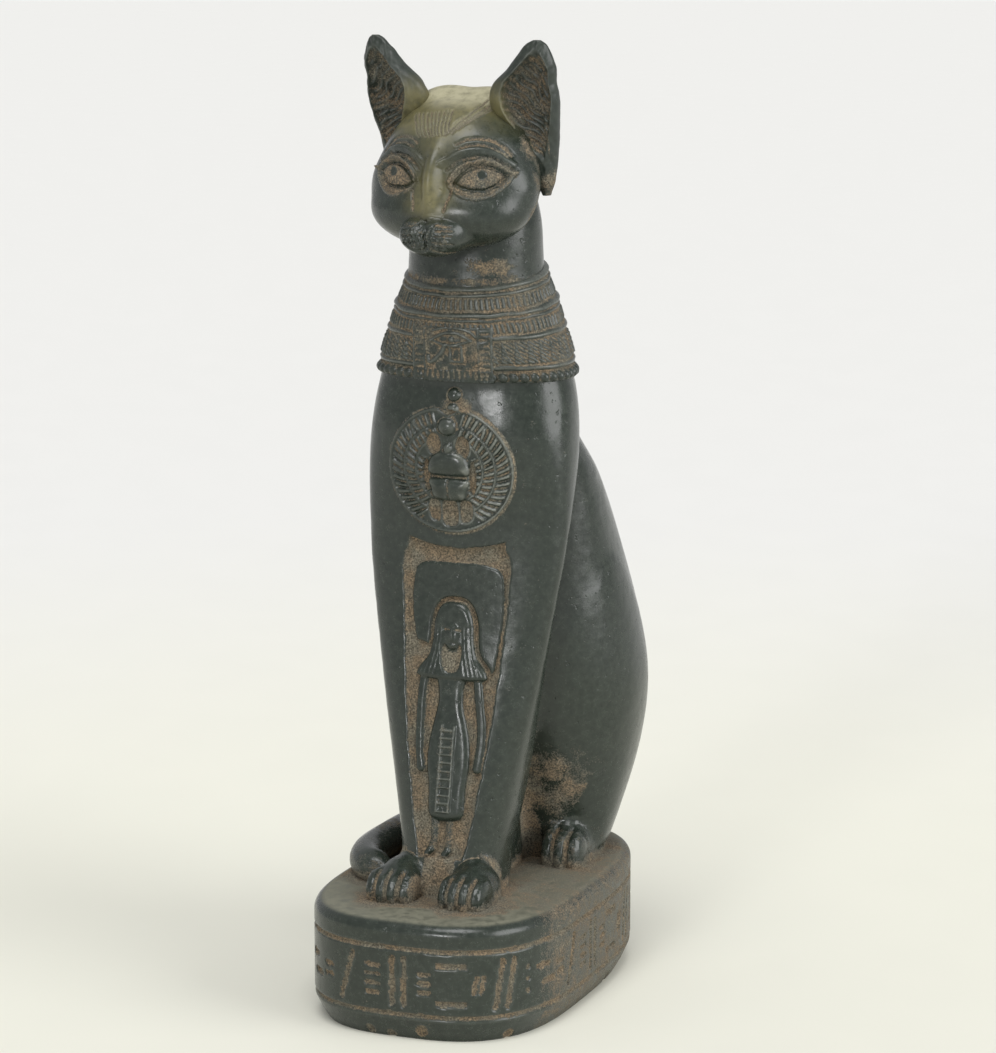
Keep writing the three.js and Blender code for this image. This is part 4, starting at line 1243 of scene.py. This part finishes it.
def make_head():
    select_only()
    bpy.ops.mesh.primitive_uv_sphere_add(segments=HEAD_SEGMENTS, ring_count=HEAD_RINGS, radius=1)
    piece = bpy.context.object
    piece.name = "head"
    ahead = head_directions(piece)
    skin = ahead * head_reach(ahead)[:, None] + HEAD_CENTRE
    x, z = skin[:, 0], skin[:, 2]
    height, dust = carve_face(x, z)
    height, dust, fan = carve_brow_fan(x, z, height, dust)
    height, dust = carve_muzzle(x, z, height, dust)
    front = soft((-skin[:, 1] - 8) / 5) * soft((24 - z) / 4) + soft((z - 12) / 3) * (skin[:, 1] < 0)
    front = np.minimum(front, 1)
    skin = skin + ahead * (height * front)[:, None]
    x, y = turn_head(skin[:, 0], skin[:, 1])
    write_places(piece, x, y, skin[:, 2] + EYE_HEIGHT + PLINTH_HEIGHT)
    smooth_all(piece)
    paint_head(piece, skin, dust * front, fan * front)
    print("head", triangle_count(piece), "triangles")
    return piece


head = make_head()

# %% [markdown]
# An ear is a leaf with a hollow front inside a raised rim. Its blank's back half follows the
# outside of the leaf and the front half dips into the hollow. The right ear is the left one's
# mirror image.

# %% Ears
EAR_TURN = 0.18
EAR_ACROSS = curve([(-7, 20.8), (0, 20.8), (6, 19.6), (14, 17.8), (21, 18.4), (25, 20.7), (32, 22.6)])
EAR_AHEAD = curve([(-7, -3.6), (6, -6), (14, -9), (21, -10.8), (32, -12.8)])
EAR_WIDE = curve([(-7, 1), (-4, 2.2), (0, 3.2), (6, 5.4), (14, 8.6), (19, 8.8), (25, 6.2), (28, 4.6),
                  (31, 2.6), (32, 1)])
EAR_THICK = curve([(-7, 1.6), (6, 3.8), (14, 5.4), (23, 4), (28, 2.4), (32, 0.8)])
EAR_RIM_INNER = curve([(2, 3.4), (8, 3.8), (16, 4), (24, 2.8), (29.5, 3.4)])
EAR_RIM_OUTER = curve([(2, 1.6), (8, 1.5), (22, 1.5), (29.5, 2.6)])
EAR_SINK = curve([(2, 6), (8, 5.4), (14, 4.4), (22, 3.2), (29, 2.4)])
EAR_LOW, EAR_HIGH = -7, 32
EAR_SIDES, EAR_LEVELS = 240, 180


# A mirrored ear is inside out until its faces are turned
def turn_outwards(piece):
    select_only(piece)
    bpy.ops.object.mode_set(mode="EDIT")
    bpy.ops.mesh.select_all(action="SELECT")
    bpy.ops.mesh.normals_make_consistent(inside=False)
    bpy.ops.object.mode_set(mode="OBJECT")


def paint_ear(piece, flat, low, back, hollowed, hatch, veins):
    along, z = flat.T
    patchy = 0.5 + 0.4 * waver(flat, 7, 34)
    hatch_dust = 0.5 * hatch * (0.6 + 0.5 * soft((11 - z) / 8))
    inside_dust = hollowed * (0.18 + hatch_dust + 0.2 * patchy)
    vein_dust = 0.6 * veins * patchy
    foot = 0.7 * soft((4 - z) / 4) * ~back * patchy
    add_attribute(piece, "dust", np.maximum.reduce([inside_dust, vein_dust, foot]))
    olive = 0.9 * soft((low + 1.5 - along) / 2) * soft((24 - z) / 8) * soft((z - 3) / 4)
    add_attribute(piece, "olive", olive)
    # A painted glint on the ear's rims and ridges, a lighter grey for light catching them.
    add_attribute(piece, "painted_glint", 0.25 * soft((-hollowness(piece, 14) - 0.06) / 0.2))


def make_ear(name, side):
    piece = blank(name, EAR_SIDES, EAR_LEVELS)
    angle, level = blank_angle_and_level(piece)
    z = EAR_LOW + (EAR_HIGH - EAR_LOW) * level
    share = np.sin(angle)
    back = np.cos(angle) < 0
    wide, thick = EAR_WIDE(z), EAR_THICK(z)
    along = wide * share
    curved = np.sqrt(np.maximum(1 - share**2, 0))
    flat = np.stack([along, z], -1)
    low, high = EAR_RIM_INNER(z) - wide, wide - EAR_RIM_OUTER(z)
    half = np.maximum((high - low) / 2, 0.1)
    reach = np.abs(along - (low + high) / 2) / half
    hollow = thick * np.sqrt(crest(reach, 1)) - EAR_SINK(z)
    ends = soft((z - 0.5) / 5) * soft((30 - z) / 4)
    open_part = (reach < 1) & ~back & (ends > 0)
    front = -thick * curved
    depth = np.where(open_part, np.maximum(hollow - front, 0) * ends, 0)
    hatch = 0.5 + 0.5 * np.cos(2 * math.pi * (z + 0.9 * along + 0.5 * waver(flat, 8, 31)) / 2.1)
    veins = line(flat, [(3, 3), (4.4, 12), (3.4, 24)], 1.2)
    depth = depth + open_part * (0.8 * hatch - 0.6 * veins) * soft(depth / 1.5)
    rough = 0.1 * waver(flat, 4, 32) + 0.06 * waver(flat, 1.6, 33)
    out = np.where(back, thick * curved, front + depth) + rough
    x = EAR_ACROSS(z) + along * math.cos(EAR_TURN) - out * math.sin(EAR_TURN)
    y = EAR_AHEAD(z) + along * math.sin(EAR_TURN) + out * math.cos(EAR_TURN)
    x, y = turn_head(side * x, y)
    write_places(piece, x, y, z + EYE_HEIGHT + PLINTH_HEIGHT)
    if side < 0:
        turn_outwards(piece)
    smooth_all(piece)
    paint_ear(piece, flat, low, back, open_part * soft(depth / 1.2), hatch, open_part * veins)
    print(name, triangle_count(piece), "triangles")
    return piece


ears = [make_ear("ear_left", 1), make_ear("ear_right", -1)]

# %% [markdown]
# One stone finish serves every piece. Its parts are node groups: the stone's own mottling with the
# dents and pits of its polishing, and a mask that breaks the painted dust up into grains. The
# shader mixes black stone with brown dust by that mask, smooth where rubbed and rough where dusty.

# %% Node helpers
def new_group(name, inputs, outputs):
    tree = bpy.data.node_groups.new(name, "ShaderNodeTree")
    for socket, kind in inputs:
        tree.interface.new_socket(name=socket, in_out="INPUT", socket_type=kind)
    for socket, kind in outputs:
        tree.interface.new_socket(name=socket, in_out="OUTPUT", socket_type=kind)
    return tree, tree.nodes.new("NodeGroupInput"), tree.nodes.new("NodeGroupOutput")


def plug(tree, socket, value):
    if isinstance(value, bpy.types.NodeSocket):
        tree.links.new(value, socket)
    else:
        socket.default_value = value


def add_node(tree, kind, settings=None, **sockets):
    node = tree.nodes.new(kind)
    for key, value in (settings or {}).items():
        setattr(node, key, value)
    for key, value in sockets.items():
        plug(tree, node.inputs[key.replace("_", " ")], value)
    return node


def add_math(tree, operation, first, second=0.0):
    node = add_node(tree, "ShaderNodeMath", {"operation": operation})
    plug(tree, node.inputs[0], first)
    plug(tree, node.inputs[1], second)
    return node.outputs[0]


def add_range(tree, value, low, high, to_low=0.0, to_high=1.0):
    node = add_node(
        tree, "ShaderNodeMapRange", {"interpolation_type": "SMOOTHSTEP"},
        Value=value, From_Min=low, From_Max=high, To_Min=to_low, To_Max=to_high,
    )
    return node.outputs["Result"]


def add_noise(tree, place, scale, detail=4.0, rough=0.55):
    node = add_node(
        tree, "ShaderNodeTexNoise", Vector=place, Scale=scale, Detail=detail, Roughness=rough
    )
    return node.outputs["Fac"]


def add_layer(tree, name):
    return add_node(tree, "ShaderNodeAttribute", {"attribute_name": name}).outputs["Fac"]


def blend(tree, share, first, second):
    node = add_node(tree, "ShaderNodeMix", {"data_type": "RGBA"})
    colours = [socket for socket in node.inputs if socket.type == "RGBA"]
    for socket, value in zip([node.inputs[0], *colours], (share, first, second)):
        plug(tree, socket, value)
    return next(socket for socket in node.outputs if socket.type == "RGBA")


def approach(tree, share, value, goal):
    gap = add_math(tree, "SUBTRACT", goal, value)
    return add_math(tree, "ADD", value, add_math(tree, "MULTIPLY", gap, share))


# %% Stone grain and dust groups
def stone_grain_group():
    tree, start, end = new_group(
        "stone_grain",
        [("Place", "NodeSocketVector")],
        [("Mottle", "NodeSocketFloat"), ("Height", "NodeSocketFloat")],
    )
    place = start.outputs["Place"]
    dents = add_math(tree, "MULTIPLY", add_noise(tree, place, 110, 2), 1.8)
    fine = add_math(tree, "MULTIPLY", add_noise(tree, place, 1500, 4, 0.7), 0.15)
    pits = add_range(tree, add_noise(tree, place, 620, 2), 0.66, 0.78, 0.0, 0.6)
    height = add_math(tree, "SUBTRACT", add_math(tree, "ADD", dents, fine), pits)
    tree.links.new(add_noise(tree, place, 520, 8, 0.72), end.inputs["Mottle"])
    tree.links.new(height, end.inputs["Height"])
    return tree


def dust_group():
    tree, start, end = new_group(
        "dust_mask",
        [("Place", "NodeSocketVector"), ("Painted", "NodeSocketFloat")],
        [("Mask", "NodeSocketFloat"), ("Grain", "NodeSocketFloat"), ("Shade", "NodeSocketFloat")],
    )
    place = start.outputs["Place"]
    grains = add_noise(tree, place, 2300, 3, 0.75)
    patches = add_noise(tree, place, 420, 5, 0.7)
    drift = add_math(tree, "SUBTRACT", add_math(tree, "ADD", grains, patches), 1.0)
    spread = add_math(tree, "MULTIPLY", drift, 1.15)
    shifted = add_math(tree, "ADD", start.outputs["Painted"], spread)
    tree.links.new(add_range(tree, shifted, 0.22, 0.78), end.inputs["Mask"])
    tree.links.new(add_range(tree, grains, 0.34, 0.64), end.inputs["Grain"])
    tree.links.new(add_range(tree, add_noise(tree, place, 150, 3), 0.38, 0.62), end.inputs["Shade"])
    return tree


STONE_GRAIN = stone_grain_group()
DUST_MASK = dust_group()

# %% [markdown]
# Each layer that a piece carries is painted on its points: where its edges get a painted glint,
# a lighter grey that stands in for light catching them; where a greenish tone shows; where a pale
# film lies, which on the skull's top is partly a painted sheen. The material only reads those
# layers and mixes the colours, so that a change of tone needs no change of the mesh.

# %% The stone finish
# The edge grey is a painted glint, not a colour of the stone, and the skull's pale colour is partly a
# painted sheen.
BLACK = (0.0135, 0.0192, 0.0142, 1)
BLACK_WORN = (0.026, 0.034, 0.0255, 1)
GLINT_GREY = (0.21, 0.22, 0.19, 1)
DUST_TAN = (0.295, 0.222, 0.138, 1)
DUST_GREY = (0.245, 0.222, 0.162, 1)
DUST_DARK = (0.055, 0.05, 0.036, 1)
OLIVE = (0.145, 0.13, 0.056, 1)
SKULL_FILM_AND_SHEEN = (0.4, 0.375, 0.245, 1)
FILM_GREY = (0.17, 0.168, 0.122, 1)
GLINT_ROUGH, DUST_ROUGH = 0.24, 0.9
BUMP_DISTANCE = 0.00016


def make_stone(name, roughness, layers=()):
    material = bpy.data.materials.new(name)
    material.use_nodes = True
    tree = material.node_tree
    shader = tree.nodes["Principled BSDF"]
    place = add_node(tree, "ShaderNodeTexCoord").outputs["Object"]
    grain = add_node(tree, "ShaderNodeGroup", {"node_tree": STONE_GRAIN}, Place=place)
    dust = add_node(
        tree, "ShaderNodeGroup", {"node_tree": DUST_MASK}, Place=place, Painted=add_layer(tree, "dust")
    )
    mottle = grain.outputs["Mottle"]
    colour = blend(tree, add_range(tree, mottle, 0.34, 0.7), BLACK, BLACK_WORN)
    rough = add_range(tree, mottle, 0.3, 0.7, roughness - 0.04, roughness + 0.07)
    # The first layer paints a glint: edges turn lighter grey and smoother where light would catch them.
    for layer, tint, dulled in (("painted_glint", GLINT_GREY, GLINT_ROUGH), *layers):
        cloud = add_range(tree, add_noise(tree, place, 420, 7, 0.7), 0.3, 0.6, 0.5, 1.0)
        share = add_math(tree, "MULTIPLY", add_layer(tree, layer), cloud)
        colour = blend(tree, share, colour, tint)
        rough = approach(tree, share, rough, dulled)
    tan = blend(tree, dust.outputs["Shade"], DUST_GREY, DUST_TAN)
    brown = blend(tree, dust.outputs["Grain"], DUST_DARK, tan)
    mask = dust.outputs["Mask"]
    tree.links.new(blend(tree, mask, colour, brown), shader.inputs["Base Color"])
    tree.links.new(approach(tree, mask, rough, DUST_ROUGH), shader.inputs["Roughness"])
    laid = add_math(tree, "MULTIPLY", dust.outputs["Grain"], mask)
    height = add_math(tree, "ADD", grain.outputs["Height"], laid)
    bump = add_node(tree, "ShaderNodeBump", Height=height, Strength=1.0, Distance=BUMP_DISTANCE)
    tree.links.new(bump.outputs["Normal"], shader.inputs["Normal"])
    return material


# %% Give each piece its finish
def dress(piece, material):
    piece.data.materials.clear()
    piece.data.materials.append(material)


dress(plinth, make_stone("plinth_stone", 0.23, [("film_and_sheen", FILM_GREY, 0.7)]))
dress(body, make_stone("body_stone", 0.22))
dress(collar, make_stone("collar_stone", 0.28))
dress(head, make_stone("head_stone", 0.24, [("olive", OLIVE, 0.42), ("film_and_sheen", SKULL_FILM_AND_SHEEN, 0.6)]))
for ear in ears:
    dress(ear, make_stone(ear.name + "_stone", 0.4, [("olive", OLIVE, 0.5)]))

# %% [markdown]
# A plain pale table under an even soft light, as a seller would use for a photograph. Three wide
# lights add the long gleams on black stone: one high up, one low in front and one from the side.

# %% Floor and light
FLOOR_NEAR = (0.76, 0.755, 0.66, 1)
FLOOR_FAR = (0.75, 0.748, 0.72, 1)
ROOM_COLOUR, ROOM_STRENGTH = (0.98, 0.98, 1, 1), 0.52
# Each light's turn round the cat and its rise in degrees, its width in the sky and its power
LAMPS = [(12, 64, 34, 1.5), (-1, 12, 11, 0.75), (84, 18, 44, 2.0)]
TABLE_SIZE = 24


def add_floor():
    select_only()
    bpy.ops.mesh.primitive_plane_add(size=TABLE_SIZE, location=(0, 0, 0))
    floor = bpy.context.object
    floor.name = "floor"
    material = bpy.data.materials.new("pale_table")
    material.use_nodes = True
    tree = material.node_tree
    shader = tree.nodes["Principled BSDF"]
    place = add_node(tree, "ShaderNodeTexCoord").outputs["Object"]
    away = add_node(tree, "ShaderNodeVectorMath", {"operation": "LENGTH"})
    tree.links.new(place, away.inputs[0])
    share = add_range(tree, away.outputs["Value"], 0.15, 0.7)
    tree.links.new(blend(tree, share, FLOOR_NEAR, FLOOR_FAR), shader.inputs["Base Color"])
    rough = add_range(tree, add_noise(tree, place, 40, 3), 0.3, 0.7, 0.75, 0.9)
    tree.links.new(rough, shader.inputs["Roughness"])
    weave = add_node(
        tree, "ShaderNodeBump", Height=add_noise(tree, place, 900, 3), Strength=0.2, Distance=0.0001
    )
    tree.links.new(weave.outputs["Normal"], shader.inputs["Normal"])
    dress(floor, material)


def add_lamp(azimuth, rise, wide, power):
    bpy.ops.object.light_add(type="SUN", location=(0, 0, 1))
    lamp = bpy.context.object
    lamp.rotation_euler = (math.radians(90 - rise), 0, math.radians(azimuth))
    lamp.data.angle = math.radians(wide)
    lamp.data.energy = power


def add_light():
    world = bpy.data.worlds.new("pale_room")
    bpy.context.scene.world = world
    world.use_nodes = True
    ground = world.node_tree.nodes["Background"]
    ground.inputs["Color"].default_value = ROOM_COLOUR
    ground.inputs["Strength"].default_value = ROOM_STRENGTH
    for lamp in LAMPS:
        add_lamp(*lamp)


add_floor()
add_light()
bpy.context.scene.view_settings.view_transform = "Standard"

# %% [markdown]
# Every piece rides on the frame's one body, and together they stand for the one CAD node. The two
# boxes are kept.

# %% Hand the pieces to the frame
shown = [plinth, body, collar, head, *ears]
for piece in shown:
    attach(piece, "root")
    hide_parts("seated_cat")
